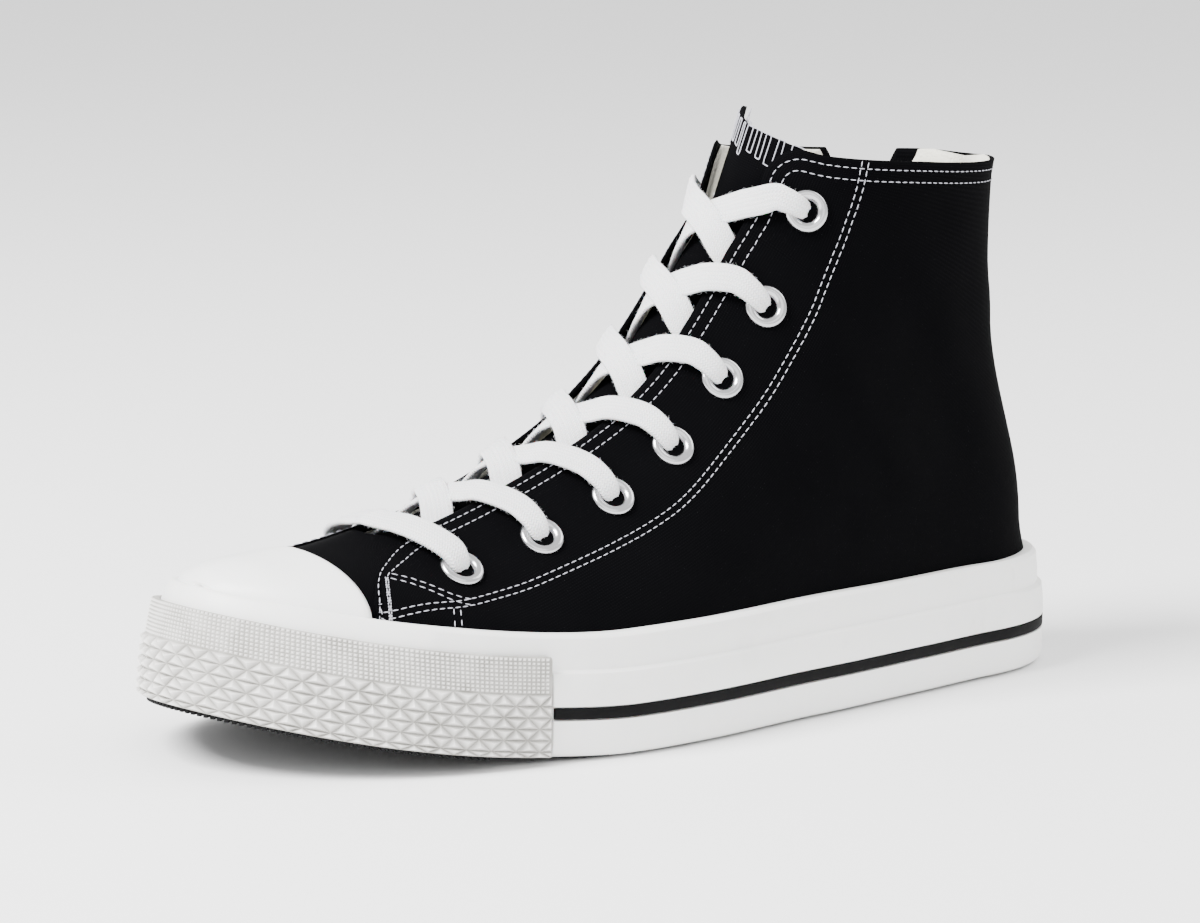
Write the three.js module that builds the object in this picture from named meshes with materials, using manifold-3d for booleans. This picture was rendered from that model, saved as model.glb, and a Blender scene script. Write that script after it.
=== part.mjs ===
// High top canvas sneaker, left shoe. Millimetres, +X toward the toe, +Y outward (lateral), +Z up.
// Inside this file x is measured from the back of the heel; the finished group is centred at the end.
import * as THREE from 'three';
import { mergeVertices } from 'three/addons/utils/BufferGeometryUtils.js';
import Module from 'manifold-3d';

const wasm = await Module();
wasm.setup();

// Driving sizes
const soleLength = 275;
const ballWidth = 97.5;
const toeSpring = 14.8;
const springStart = 0.64;
const foxingHeight = 30.3;
const collarHeight = 134.4;
const clearance = 0.3;

// Sole
const treadDepth = 1.6;
const treadPitch = 15;
const treadGroove = 3.4;
const treadChevron = 7;
const outsoleRim = 4.0;
const outsoleEdge = 4.2;
const midsoleTop = 11.5;
const foxingLift = 0.8;
const foxingTopWall = 2.2;
const foxingTopInset = 2.4;
const toeLean = 4.1;
const stripeBottom = 9.6;
const stripeWidth = 2.8;
const stripeDepth = 1.1;
const stepHeight = 21;
const insoleThickness = 2.8;
const bumperTop = 25;
const bumperDepth = 1.3;
const bumperProud = 0.5;
const bumperJoint = 0.725;
const pyramidRise = 0.8;
const pyramidPitch = 7;
const pyramidRows = 5;
const pyramidTop = 16;

// Upper
const canvasWall = 2.2;
const vampStep = 0.8;
const toeCapThickness = 1.4;
const toeCapRear = 0.869;
const stayThickness = 0.8;
const stayWidth = 20;
const throatHalf = 11;
const throatEnd = 0.808;
const tongueGap = 1.8;
const tongueThickness = 2.2;
const tongueHalf = 23;
const tongueRise = 15;

// Eyelets and laces
const eyeletCount = 7;
const eyeletSpacing = 22;
const lowestEyelet = 0.7745;
const eyeletSetback = 15;
const eyeletRadius = 5.5;
const eyeletBore = 2.9;
const eyeletBarrel = 3.3;
const laceWidth = 7.5;
const laceThickness = 1.6;
const laceTuck = 6;

// Zip on the inner side
const zipPlace = 0.14;
const zipBottom = 52;
const zipTapeWidth = 9;
const zipSliderHeight = 117;
const zipPullLength = 21;

// Share of the length, half width and centre as shares of the ball width, centre plus is outward
const outlineTable = [
  { at: 0.00, half: 0.338, centre: 0.000 },
  { at: 0.06, half: 0.337, centre: 0.000 },
  { at: 0.12, half: 0.344, centre: -0.004 },
  { at: 0.25, half: 0.365, centre: 0.027 },
  { at: 0.40, half: 0.396, centre: 0.057 },
  { at: 0.55, half: 0.470, centre: 0.045 },
  { at: 0.66, half: 0.505, centre: 0.013 },
  { at: 0.75, half: 0.500, centre: -0.030 },
  { at: 0.85, half: 0.498, centre: -0.046 },
  { at: 0.93, half: 0.495, centre: -0.060 },
  { at: 1.00, half: 0.445, centre: -0.045 },
];

// Sections of the upper, from the toe to above the collar. Each is a line in the side view, from a point
// on the ridge to a foot on the foxing line or a point up the back. ridge and foot are shares of the sole
// length, rise and back shares of the shaft height; reach, side, outer and inner round the section over.
const sectionTable = [
  { ridge: 0.9655, rise: 0.004, foot: 0.9655, back: 0, reach: 1.00, side: 2.0, outer: 2.00, inner: 1.50 },
  { ridge: 0.9560, rise: 0.031, foot: 0.9560, back: 0, reach: 1.00, side: 2.0, outer: 2.00, inner: 1.50 },
  { ridge: 0.9345, rise: 0.063, foot: 0.9345, back: 0, reach: 1.00, side: 2.0, outer: 2.00, inner: 1.45 },
  { ridge: 0.8945, rise: 0.096, foot: 0.8945, back: 0, reach: 1.00, side: 2.0, outer: 2.00, inner: 1.40 },
  { ridge: 0.8436, rise: 0.141, foot: 0.8400, back: 0, reach: 1.00, side: 1.7, outer: 1.85, inner: 1.25 },
  { ridge: 0.7890, rise: 0.208, foot: 0.7710, back: 0, reach: 1.00, side: 1.25, outer: 1.60, inner: 1.15 },
  { ridge: 0.7433, rise: 0.265, foot: 0.7055, back: 0, reach: 1.00, side: 1.2, outer: 1.50, inner: 1.10 },
  { ridge: 0.6673, rise: 0.344, foot: 0.5930, back: 0, reach: 0.95, side: 1.4, outer: 1.60, inner: 1.25 },
  { ridge: 0.5818, rise: 0.434, foot: 0.4650, back: 0, reach: 0.85, side: 1.8, outer: 1.80, inner: 1.60 },
  { ridge: 0.5182, rise: 0.549, foot: 0.3350, back: 0, reach: 0.70, side: 1.9, outer: 1.90, inner: 1.90 },
  { ridge: 0.4745, rise: 0.679, foot: 0.2110, back: 0, reach: 0.52, side: 1.9, outer: 1.90, inner: 1.90 },
  { ridge: 0.4309, rise: 0.833, foot: 0.0980, back: 0, reach: 0.40, side: 1.9, outer: 1.90, inner: 1.90 },
  { ridge: 0.4210, rise: 0.870, foot: 0.0500, back: 0, reach: 0.39, side: 1.9, outer: 1.88, inner: 1.88 },
  { ridge: 0.4135, rise: 0.898, foot: 0.0000, back: 0, reach: 0.38, side: 1.9, outer: 1.86, inner: 1.86 },
  { ridge: 0.4020, rise: 0.939, foot: 0.0000, back: 0.36, reach: 0.44, side: 1.9, outer: 1.80, inner: 1.80 },
  { ridge: 0.3836, rise: 1.025, foot: 0.0000, back: 1.042, reach: 0.50, side: 1.9, outer: 1.80, inner: 1.80 },
  { ridge: 0.3600, rise: 1.169, foot: 0.0000, back: 1.186, reach: 0.50, side: 1.9, outer: 1.80, inner: 1.80 },
  { ridge: 0.3380, rise: 1.300, foot: 0.0000, back: 1.320, reach: 0.50, side: 1.9, outer: 1.80, inner: 1.80 },
];
const cornerRow = 13;
const topRow = 16;

// The heel's back line: height as a share of the collar height, and how far in as a share of the length
const backTable = [
  { up: 0.00, inward: 0.0236 },
  { up: 0.09, inward: 0.0218 },
  { up: 0.22, inward: 0.0189 },
  { up: 0.35, inward: 0.0255 },
  { up: 0.47, inward: 0.0418 },
  { up: 0.59, inward: 0.0600 },
  { up: 0.71, inward: 0.0690 },
  { up: 0.86, inward: 0.0727 },
  { up: 1.02, inward: 0.0727 },
  { up: 1.25, inward: 0.0709 },
];

// How the shaft narrows with height, as a share of the width at the foxing
const waistTable = [
  { up: 0.21, width: 1.00 },
  { up: 0.33, width: 0.98 },
  { up: 0.52, width: 0.93 },
  { up: 0.74, width: 0.88 },
  { up: 1.02, width: 0.93 },
  { up: 1.25, width: 0.96 },
];

// The collar line: share of the length, and height above the collar height as a share of the shaft
const collarTable = [
  { at: -0.20, lift: -0.004 },
  { at: 0.07, lift: 0.000 },
  { at: 0.145, lift: 0.004 },
  { at: 0.236, lift: 0.018 },
  { at: 0.331, lift: 0.038 },
  { at: 0.350, lift: 0.054 },
  { at: 0.362, lift: 0.062 },
  { at: 0.372, lift: 0.052 },
  { at: 0.377, lift: 0.030 },
  { at: 0.379, lift: -0.004 },
  { at: 0.388, lift: -0.060 },
  { at: 0.520, lift: -0.060 },
];

// The front edge of the quarters seen from above: share of the length and of the ball width
const quarterTable = [
  { at: 0.745, out: 0.060 },
  { at: 0.790, out: 0.128 },
  { at: 0.829, out: 0.185 },
  { at: 0.847, out: 0.226 },
  { at: 0.858, out: 0.270 },
  { at: 0.863, out: 0.320 },
  { at: 0.866, out: 0.620 },
];

// Eyelets from the lowest up: how much of the setback each one takes
const setbackShares = [0.95, 1.0, 1.0, 0.87, 0.72, 0.68, 0.62];

const shaftHeight = collarHeight - foxingHeight;

// Monotone cubic through the points of a table
function smoothCurve(xs, ys) {
  const last = xs.length - 1;
  const gap = xs.slice(1).map((x, i) => x - xs[i]);
  const slope = gap.map((g, i) => (ys[i + 1] - ys[i]) / g);
  const tangent = xs.map((_, i) => {
    if (i === 0) return slope[0];
    if (i === last) return slope[last - 1];
    if (slope[i - 1] * slope[i] <= 0) return 0;
    const before = gap[i - 1];
    const after = gap[i];
    return 3 * (before + after) / ((2 * after + before) / slope[i - 1] + (after + 2 * before) / slope[i]);
  });
  return (x) => {
    if (x <= xs[0]) return ys[0];
    if (x >= xs[last]) return ys[last];
    let i = 0;
    while (x > xs[i + 1]) i += 1;
    const t = (x - xs[i]) / gap[i];
    const u = 1 - t;
    return ys[i] * (1 + 2 * t) * u * u + tangent[i] * gap[i] * t * u * u
      + ys[i + 1] * t * t * (3 - 2 * t) - tangent[i + 1] * gap[i] * t * t * u;
  };
}

const tableCurve = (table, key, value) => smoothCurve(table.map((r) => r[key]), table.map((r) => r[value]));
const rowCurve = (value) => smoothCurve(sectionTable.map((_, i) => i), sectionTable.map((r) => r[value]));
const clamp = (v, low = 0, high = 1) => Math.min(high, Math.max(low, v));
const blend = (v) => {
  const t = clamp(v);
  return t * t * (3 - 2 * t);
};
const roundEnd = (q, power = 2) => Math.sqrt(Math.max(0, 1 - (1 - clamp(q)) ** power));

// Plan of the sole
const heelRound = 0.14;
const toeRound = 0.28;
const toePower = 2.2;
const outlineHalf = tableCurve(outlineTable, 'at', 'half');
const outlineCentre = tableCurve(outlineTable, 'at', 'centre');

function outlinePoint(t) {
  const angle = 2 * Math.PI * t;
  const s = (1 - Math.cos(angle)) / 2;
  const half = outlineHalf(s) * ballWidth * roundEnd(s / heelRound) * roundEnd((1 - s) / toeRound, toePower);
  const y = outlineCentre(s) * ballWidth + Math.sign(Math.sin(angle)) * half;
  return new THREE.Vector2(s * soleLength, y);
}

function insetPoint(t, inset) {
  const step = 0.0006;
  const ahead = outlinePoint(t + step);
  const behind = outlinePoint(t - step);
  const normal = new THREE.Vector2(ahead.y - behind.y, behind.x - ahead.x).normalize();
  return outlinePoint(t).addScaledVector(normal, inset);
}

const soleRise = (x) => toeSpring * clamp((x / soleLength - springStart) / (1 - springStart)) ** 1.8;
const leanShare = (x) => blend((x / soleLength - 0.72) / 0.2);
const topInset = (x) => foxingTopInset + toeLean * leanShare(x);
const upperInset = (x) => topInset(x) + foxingTopWall + 1.5 * clearance;
const wallLean = (x, z) => toeLean * leanShare(x) * (z / foxingHeight) ** 2;

// Place on the outline where the side reaches a share of the length, outward side first
const outlinePlace = (share) => Math.acos(1 - 2 * share) / (2 * Math.PI);

// Solids from rings of points
function geometryOf(points, faces) {
  const geometry = new THREE.BufferGeometry();
  geometry.setAttribute('position', new THREE.Float32BufferAttribute(points.flatMap((p) => [p.x, p.y, p.z]), 3));
  geometry.setIndex(faces.flat());
  return geometry;
}

function solidOf(source) {
  const bare = source.clone();
  bare.deleteAttribute('normal');
  bare.deleteAttribute('uv');
  const merged = mergeVertices(bare, 1e-3);
  const index = merged.index.array;
  const kept = [];
  for (let i = 0; i < index.length; i += 3) {
    const [a, b, c] = [index[i], index[i + 1], index[i + 2]];
    if (a !== b && b !== c && a !== c) kept.push(a, b, c);
  }
  const make = (triVerts) => new wasm.Manifold(new wasm.Mesh({
    numProp: 3,
    vertProperties: Float32Array.from(merged.attributes.position.array),
    triVerts: Uint32Array.from(triVerts),
  }));
  const solid = make(kept);
  if (solid.volume() >= 0) return solid;
  const flipped = [];
  for (let i = 0; i < kept.length; i += 3) flipped.push(kept[i], kept[i + 2], kept[i + 1]);
  return make(flipped);
}

// A closed mesh from loops of equal length, each loop a ring, with flat fans or none at the ends
function loftLoops(loops, closedRun) {
  const count = loops[0].length;
  const faces = [];
  const runs = closedRun ? loops.length : loops.length - 1;
  for (let i = 0; i < runs; i += 1) {
    const next = (i + 1) % loops.length;
    for (let k = 0; k < count; k += 1) {
      const after = (k + 1) % count;
      const [a, b] = [i * count + k, i * count + after];
      const [c, d] = [next * count + k, next * count + after];
      faces.push([a, c, b], [b, c, d]);
    }
  }
  if (!closedRun) {
    const end = (loops.length - 1) * count;
    for (let k = 1; k < count - 1; k += 1) {
      faces.push([0, k, k + 1], [end, end + k + 1, end + k]);
    }
  }
  return solidOf(geometryOf(loops.flat(), faces));
}

// A slab that follows the sole's plan, its faces laid as strips from side to side
function soleSlab(levels, steps) {
  const rings = levels.map(({ z, inset }) => {
    const ring = [];
    for (let k = 0; k < 2 * steps; k += 1) {
      const t = k / (2 * steps);
      const place = outlinePoint(t);
      const p = insetPoint(t, inset(place.x));
      ring.push(new THREE.Vector3(p.x, p.y, z + soleRise(p.x)));
    }
    return ring;
  });
  const count = 2 * steps;
  const faces = [];
  for (let i = 0; i < rings.length - 1; i += 1) {
    for (let k = 0; k < count; k += 1) {
      const after = (k + 1) % count;
      faces.push([i * count + k, (i + 1) * count + k, i * count + after]);
      faces.push([i * count + after, (i + 1) * count + k, (i + 1) * count + after]);
    }
  }
  const top = (rings.length - 1) * count;
  for (let k = 0; k < steps; k += 1) {
    const near = k;
    const far = (count - k) % count;
    const nearNext = k + 1;
    const farNext = (count - k - 1) % count;
    faces.push([near, nearNext, far], [nearNext, farNext, far]);
    faces.push([top + near, top + far, top + nearNext], [top + nearNext, top + far, top + farNext]);
  }
  return solidOf(geometryOf(rings.flat(), faces));
}

// A band around the sole: a closed profile of height and inset, swept along a stretch of the outline
function soleBand(profile, from, to, steps) {
  const whole = to - from >= 1;
  const loops = [];
  for (let k = 0; k < (whole ? steps : steps + 1); k += 1) {
    const t = from + (to - from) * k / steps;
    const place = outlinePoint(t);
    loops.push(profile(place.x).map(({ z, inset }) => {
      const p = insetPoint(t, inset);
      return new THREE.Vector3(p.x, p.y, z + soleRise(p.x));
    }));
  }
  return loftLoops(loops, whole);
}

// The upper's surface
const ridgeShare = rowCurve('ridge');
const ridgeRise = rowCurve('rise');
const footShare = rowCurve('foot');
const backShare = rowCurve('back');
const reachShare = rowCurve('reach');
const sidePower = rowCurve('side');
const outerPower = rowCurve('outer');
const innerPower = rowCurve('inner');
const backInward = tableCurve(backTable, 'up', 'inward');
const waistWidth = tableCurve(waistTable, 'up', 'width');
const footTuck = 2;
const heelDepth = 32;
const straightHeel = 0.16;
const heelBlend = 34;

const backLine = (z) => backInward(z / collarHeight) * soleLength;
const footLine = (x) => foxingHeight - footTuck + soleRise(x);

const planCache = new Map();
function upperPlan(depth) {
  if (planCache.has(depth)) return planCache.get(depth);
  const samples = 120;
  const sides = [1, -1].map((side) => {
    const xs = [];
    const ys = [];
    for (let k = 0; k <= samples; k += 1) {
      const t = side > 0 ? 0.5 * k / samples : 1 - 0.5 * k / samples;
      const p = insetPoint(t, upperInset(outlinePoint(t).x) + depth);
      if (xs.length && p.x <= xs[xs.length - 1] + 1e-4) continue;
      xs.push(p.x);
      ys.push(p.y);
    }
    return { curve: smoothCurve(xs, ys), front: xs[xs.length - 1] };
  });
  const plan = {
    front: Math.min(sides[0].front, sides[1].front),
    back: upperInset(0) + depth,
    side: (x, side) => sides[side > 0 ? 0 : 1].curve(x),
  };
  planCache.set(depth, plan);
  return plan;
}

function ridgePoint(row, depth) {
  const at = (r) => {
    const x = ridgeShare(r) * soleLength;
    return new THREE.Vector2(x, foxingHeight + soleRise(x) + ridgeRise(r) * shaftHeight);
  };
  const step = 0.02;
  const low = at(Math.max(0, row - step));
  const high = at(Math.min(sectionTable.length - 1, row + step));
  const along = high.sub(low).normalize();
  return at(row).add(new THREE.Vector2(-along.y, along.x).multiplyScalar(depth));
}

// The point of the upper at a row, a share s from the ridge to the foot, on one side, at a depth inward
function upperPoint(row, s, side, depth) {
  const plan = upperPlan(depth);
  const ridge = ridgePoint(row, depth);
  ridge.x = Math.min(ridge.x, plan.front);
  const back = backShare(row) * shaftHeight;
  const footX = clamp(footShare(row) * soleLength, plan.back, plan.front);
  const foot = new THREE.Vector2(footX, footLine(footX));
  if (row > cornerRow) foot.set(backLine(foot.y + back) + depth, foot.y + back);
  const x = ridge.x + (foot.x - ridge.x) * s;
  const z = ridge.y + (foot.y - ridge.y) * s;
  const follow = clamp((row - 6.3) / 2.8);
  const planX = Math.max(foot.x + (x - foot.x) * follow, straightHeel * soleLength);
  const outer = plan.side(planX, 1);
  const inner = plan.side(planX, -1);
  const half = (outer - inner) / 2;
  const centre = (outer + inner) / 2;
  const nearSole = 1 - blend((z - foxingHeight) / heelBlend);
  const trueX = Math.max(x - Math.max(0, backLine(z) + depth - plan.back), plan.back);
  const trueHalf = trueX > plan.back + 1e-6 ? (plan.side(trueX, 1) - plan.side(trueX, -1)) / 2 : 0;
  const narrow = 1 + (waistWidth(z / collarHeight) - 1) * clamp((row - 4.9) / 4.2);
  const turn = 1 - (1 - clamp(s / reachShare(row))) ** sidePower(row);
  const crown = turn ** (1 / (side > 0 ? outerPower(row) : innerPower(row)));
  const shaftHeel = roundEnd((x - backLine(z) - depth) / heelDepth);
  const inHeel = x < straightHeel * soleLength;
  const heel = inHeel ? shaftHeel + (trueHalf / half - shaftHeel) * nearSole : shaftHeel;
  const centring = clamp((row - 1.4) / 4.2);
  const y = centre * (1 - centring + centring * s) + side * half * narrow * crown * heel;
  return new THREE.Vector3(x, y, z);
}

// A closed solid bounded by the upper's surface at a depth, down to a floor height and up to the top row
function upperBody(depth, rows, columns, floor) {
  const shares = Array.from({ length: columns + 1 }, (_, k) => k / columns);
  const sides = [1, -1].map((side) => rows.map((row) => {
    const wrap = clamp((row - 9) / 3);
    const points = shares.map((k) => {
      const open = 1 - Math.cos(Math.PI / 2 * k);
      const shut = (1 - Math.cos(Math.PI * k)) / 2;
      return upperPoint(row, open + (shut - open) * wrap, side, depth);
    });
    if (row <= cornerRow) {
      const foot = points[columns];
      const low = floor + soleRise(foot.x);
      points.push(new THREE.Vector3(foot.x, foot.y, (foot.z + low) / 2));
      points.push(new THREE.Vector3(foot.x, foot.y, low));
    }
    return points;
  }));
  const triangles = [];
  const quad = (a, b, c, d) => triangles.push(a, b, c, a, c, d);
  for (let i = 0; i < rows.length - 1; i += 1) {
    const [outer, inner] = sides;
    const wide = Math.min(outer[i].length, outer[i + 1].length) - 1;
    for (let k = 0; k < wide; k += 1) {
      quad(outer[i][k], outer[i][k + 1], outer[i + 1][k + 1], outer[i + 1][k]);
      quad(inner[i][k], inner[i + 1][k], inner[i + 1][k + 1], inner[i][k + 1]);
    }
    if (rows[i + 1] <= cornerRow) {
      const end = outer[i].length - 1;
      quad(outer[i][end], inner[i][end], inner[i + 1][end], outer[i + 1][end]);
    }
  }
  const [outerTip, innerTip] = sides.map((side) => side[0]);
  for (let k = 0; k < outerTip.length - 1; k += 1) {
    quad(outerTip[k], innerTip[k], innerTip[k + 1], outerTip[k + 1]);
  }
  const [outerTop, innerTop] = sides.map((side) => side[rows.length - 1]);
  for (let k = 0; k < outerTop.length - 1; k += 1) {
    quad(outerTop[k], outerTop[k + 1], innerTop[k + 1], innerTop[k]);
  }
  return solidOf(geometryOf(triangles, triangles.map((_, i) => i)));
}

const frontRows = [0, 0.4, 0.8, 1.2, 1.7, 2.3, 3, 3.6, 4.2, 4.8, 5.4];
const middleRows = [6, 6.6, 7.2, 7.8, 8.4, 8.9, 9.4, 9.9, 10.4, 10.9, 11.4, 11.75, 12.1, 12.35, 12.5, 12.6];
const shaftRows = [cornerRow, 13.3, 13.6, 13.9, 14.15, 14.4, 14.65, 14.85, 15, topRow];
const upperRows = [...frontRows, ...middleRows, ...shaftRows];
const innerRows = [...frontRows, ...middleRows, cornerRow, 13.6, 14.15, 14.5, 14.85, 15, topRow];
const upperFloor = midsoleTop + clearance;
const outerColumns = 7;
const innerColumns = 7;
const canvasBody = upperBody(0, upperRows, outerColumns, upperFloor);

// Cutters
function prismY(points, halfDepth) {
  const shape = new THREE.Shape(points);
  const geometry = new THREE.ExtrudeGeometry(shape, { depth: 2 * halfDepth, bevelEnabled: false });
  geometry.rotateX(Math.PI / 2);
  geometry.translate(0, halfDepth, 0);
  return solidOf(geometry);
}

function prismZ(points, bottom, top) {
  const shape = new THREE.Shape(points);
  const geometry = new THREE.ExtrudeGeometry(shape, { depth: top - bottom, bevelEnabled: false });
  geometry.translate(0, 0, bottom);
  return solidOf(geometry);
}

function boxSolid(low, high) {
  const size = high.clone().sub(low);
  const geometry = new THREE.BoxGeometry(size.x, size.y, size.z);
  geometry.translate((low.x + high.x) / 2, (low.y + high.y) / 2, (low.z + high.z) / 2);
  return solidOf(geometry);
}

const aboveCollar = prismY([
  ...collarTable.map(({ at, lift }) => new THREE.Vector2(at * soleLength, collarHeight + lift * shaftHeight)),
  new THREE.Vector2(0.52 * soleLength, 2 * collarHeight),
  new THREE.Vector2(-0.2 * soleLength, 2 * collarHeight),
], ballWidth);

function quarterRegion() {
  const side = quarterTable.map(({ at, out }) => new THREE.Vector2(at * soleLength, out * ballWidth));
  const mirrored = side.map((p) => new THREE.Vector2(p.x, -p.y)).reverse();
  const back = -0.1 * soleLength;
  const wide = 0.62 * ballWidth;
  return prismZ([
    ...mirrored, ...side, new THREE.Vector2(back, wide), new THREE.Vector2(back, -wide),
  ], -10, 2 * collarHeight);
}

function throatCutter() {
  const inward = 12;
  const outward = 20;
  const rows = [5.5, 6, 6.5, 7, 7.5, 8, 8.5, 9, 9.5, 10, 10.5, 11, 12, 13, 14, 15, topRow];
  const under = rows.map((row) => ridgePoint(row, inward));
  const over = rows.map((row) => ridgePoint(row, -outward)).reverse();
  const band = prismY([...under, ...over], throatHalf);
  const end = ridgePoint(5.5, 0);
  const round = new THREE.CylinderGeometry(throatHalf, throatHalf, inward + outward, 20);
  round.rotateX(Math.PI / 2);
  round.translate(throatEnd * soleLength - throatHalf, 0, end.y + (outward - inward) / 2);
  const reach = boxSolid(
    new THREE.Vector3(end.x - inward, -throatHalf, end.y - inward),
    new THREE.Vector3(throatEnd * soleLength - throatHalf, throatHalf, end.y + outward),
  );
  return band.add(solidOf(round)).add(reach);
}

// Distance along the ridge, from the lowest eyelet upward
const rowAt = (() => {
  const steps = 400;
  const rows = [];
  const lengths = [];
  let run = 0;
  let before = null;
  for (let k = 0; k <= steps; k += 1) {
    const row = topRow * k / steps;
    const p = ridgePoint(row, 0);
    if (before) run += p.distanceTo(before);
    before = p;
    rows.push(row);
    lengths.push(run);
  }
  const start = rows.findIndex((row) => ridgeShare(row) <= lowestEyelet);
  const toRow = smoothCurve(lengths, rows);
  return (distance) => toRow(lengths[start] + distance);
})();

// The point of the upper's surface at a distance along the ridge and a distance to the side
function facePoint(distance, out, depth) {
  const row = rowAt(distance);
  const side = out < 0 ? -1 : 1;
  let low = 0;
  let high = 0.9 * reachShare(row);
  for (let i = 0; i < 30; i += 1) {
    const middle = (low + high) / 2;
    if (Math.abs(upperPoint(row, middle, side, 0).y) < Math.abs(out)) low = middle;
    else high = middle;
  }
  const point = upperPoint(row, low, side, 0);
  const along = upperPoint(row + 0.05, low, side, 0).sub(upperPoint(row - 0.05, low, side, 0));
  const across = upperPoint(row, low + 0.01, side, 0).sub(point);
  const normal = across.cross(along).multiplyScalar(side).normalize();
  if (Math.abs(out) < 0.5) {
    const ridge = ridgePoint(row, 0);
    const deeper = ridgePoint(row, -1);
    normal.set(deeper.x - ridge.x, 0, deeper.y - ridge.y).normalize();
  }
  return { point: point.addScaledVector(normal, -depth), normal };
}

const eyelets = [];
for (let i = 0; i < eyeletCount; i += 1) {
  for (const side of [1, -1]) {
    const out = throatHalf + eyeletSetback * setbackShares[i];
    eyelets.push({ index: i, side, out, ...facePoint(i * eyeletSpacing, side * out, 0) });
  }
}

function alongNormal(geometry, { point, normal }) {
  geometry.applyQuaternion(new THREE.Quaternion().setFromUnitVectors(new THREE.Vector3(0, 1, 0), normal));
  geometry.translate(point.x, point.y, point.z);
  return geometry;
}

function eyeletSeats() {
  const seatSides = 8;
  const holeDepth = 4 * canvasWall;
  const seatDepth = 2.4;
  const holeRadius = (eyeletBarrel + clearance) / Math.cos(Math.PI / seatSides);
  const seatRadius = (eyeletRadius + clearance) / Math.cos(Math.PI / seatSides);
  return eyelets.flatMap((eyelet) => {
    const hole = new THREE.CylinderGeometry(holeRadius, holeRadius, holeDepth, seatSides);
    const seat = new THREE.CylinderGeometry(seatRadius, seatRadius, seatDepth, seatSides);
    seat.translate(0, seatDepth / 2 - 2 * clearance, 0);
    return [solidOf(alongNormal(hole, eyelet)), solidOf(alongNormal(seat, eyelet))];
  });
}

const zipX = zipPlace * soleLength;
const innerWallY = -ballWidth;

function zipCutter() {
  const half = zipTapeWidth / 2 + clearance;
  const notch = 8.5;
  const slot = prismY([
    new THREE.Vector2(zipX - half, zipBottom),
    new THREE.Vector2(zipX + half, zipBottom),
    new THREE.Vector2(zipX + half, zipSliderHeight + 6),
    new THREE.Vector2(zipX + notch, collarHeight + 10),
    new THREE.Vector2(zipX - notch, collarHeight + 10),
    new THREE.Vector2(zipX - half, zipSliderHeight + 6),
  ], ballWidth);
  return slot.intersect(boxSolid(
    new THREE.Vector3(-soleLength, innerWallY, -10),
    new THREE.Vector3(soleLength, -5, 2 * collarHeight),
  ));
}

function upperSolid() {
  const thin = upperBody(vampStep, upperRows, outerColumns, upperFloor);
  const hollow = upperBody(canvasWall, innerRows, innerColumns, upperFloor - 5);
  let solid = canvasBody.intersect(quarterRegion()).add(thin);
  solid = solid.subtract(hollow).subtract(aboveCollar).subtract(throatCutter()).subtract(zipCutter());
  for (const seat of eyeletSeats()) solid = solid.subtract(seat);
  return solid;
}

function shellBetween(outerDepth, innerDepth, rows, columns, floor) {
  return upperBody(outerDepth, rows, columns, floor).subtract(upperBody(innerDepth, rows, columns, floor - 5));
}

function belowFoxingTop() {
  const points = [];
  for (let k = 0; k <= 24; k += 1) {
    const x = soleLength * (-0.05 + 1.1 * k / 24);
    points.push(new THREE.Vector2(x, foxingHeight + clearance + soleRise(x)));
  }
  points.push(new THREE.Vector2(1.05 * soleLength, -10), new THREE.Vector2(-0.05 * soleLength, -10));
  return prismY(points, ballWidth);
}

function toeCapSolid() {
  const rows = frontRows;
  const inner = vampStep - clearance;
  const shell = shellBetween(inner - toeCapThickness, inner, rows, outerColumns, upperFloor);
  const region = boxSolid(
    new THREE.Vector3(toeCapRear * soleLength, -ballWidth, 0),
    new THREE.Vector3(1.1 * soleLength, ballWidth, collarHeight),
  );
  return shell.intersect(region).subtract(belowFoxingTop());
}

function heelStaySolid() {
  const rows = upperRows.filter((row) => row >= 10);
  const shell = shellBetween(-clearance - stayThickness, -clearance, rows, outerColumns, upperFloor);
  const region = boxSolid(
    new THREE.Vector3(-10, -stayWidth / 2, 0),
    new THREE.Vector3(0.14 * soleLength, stayWidth / 2, 2 * collarHeight),
  );
  return shell.intersect(region).subtract(belowFoxingTop()).subtract(aboveCollar);
}

// Tongue: a sheet under the facings, its top edge slanting down to the outer side
function tongueSolid() {
  const depthAt = canvasWall + tongueGap;
  const across = 6;
  const lengthwise = 14;
  const start = -20;
  const layers = [depthAt, depthAt + tongueThickness].map((depth) => {
    const sheet = [];
    for (let i = 0; i <= lengthwise; i += 1) {
      const line = [];
      for (let j = 0; j <= across; j += 1) {
        const share = 2 * j / across - 1;
        const slant = 5 * share + 1.5 * share * share;
        const end = 132 + tongueRise + 4 - slant;
        const distance = start + (end - start) * i / lengthwise;
        const spread = 0.55 + 0.45 * clamp((distance - start) / 60);
        line.push(facePoint(distance, share * tongueHalf * spread + 1e-6, depth).point);
      }
      sheet.push(line);
    }
    return sheet;
  });
  const loops = [];
  for (let i = 0; i <= lengthwise; i += 1) {
    loops.push([...layers[0][i], ...[...layers[1][i]].reverse()]);
  }
  return loftLoops(loops, false);
}

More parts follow.
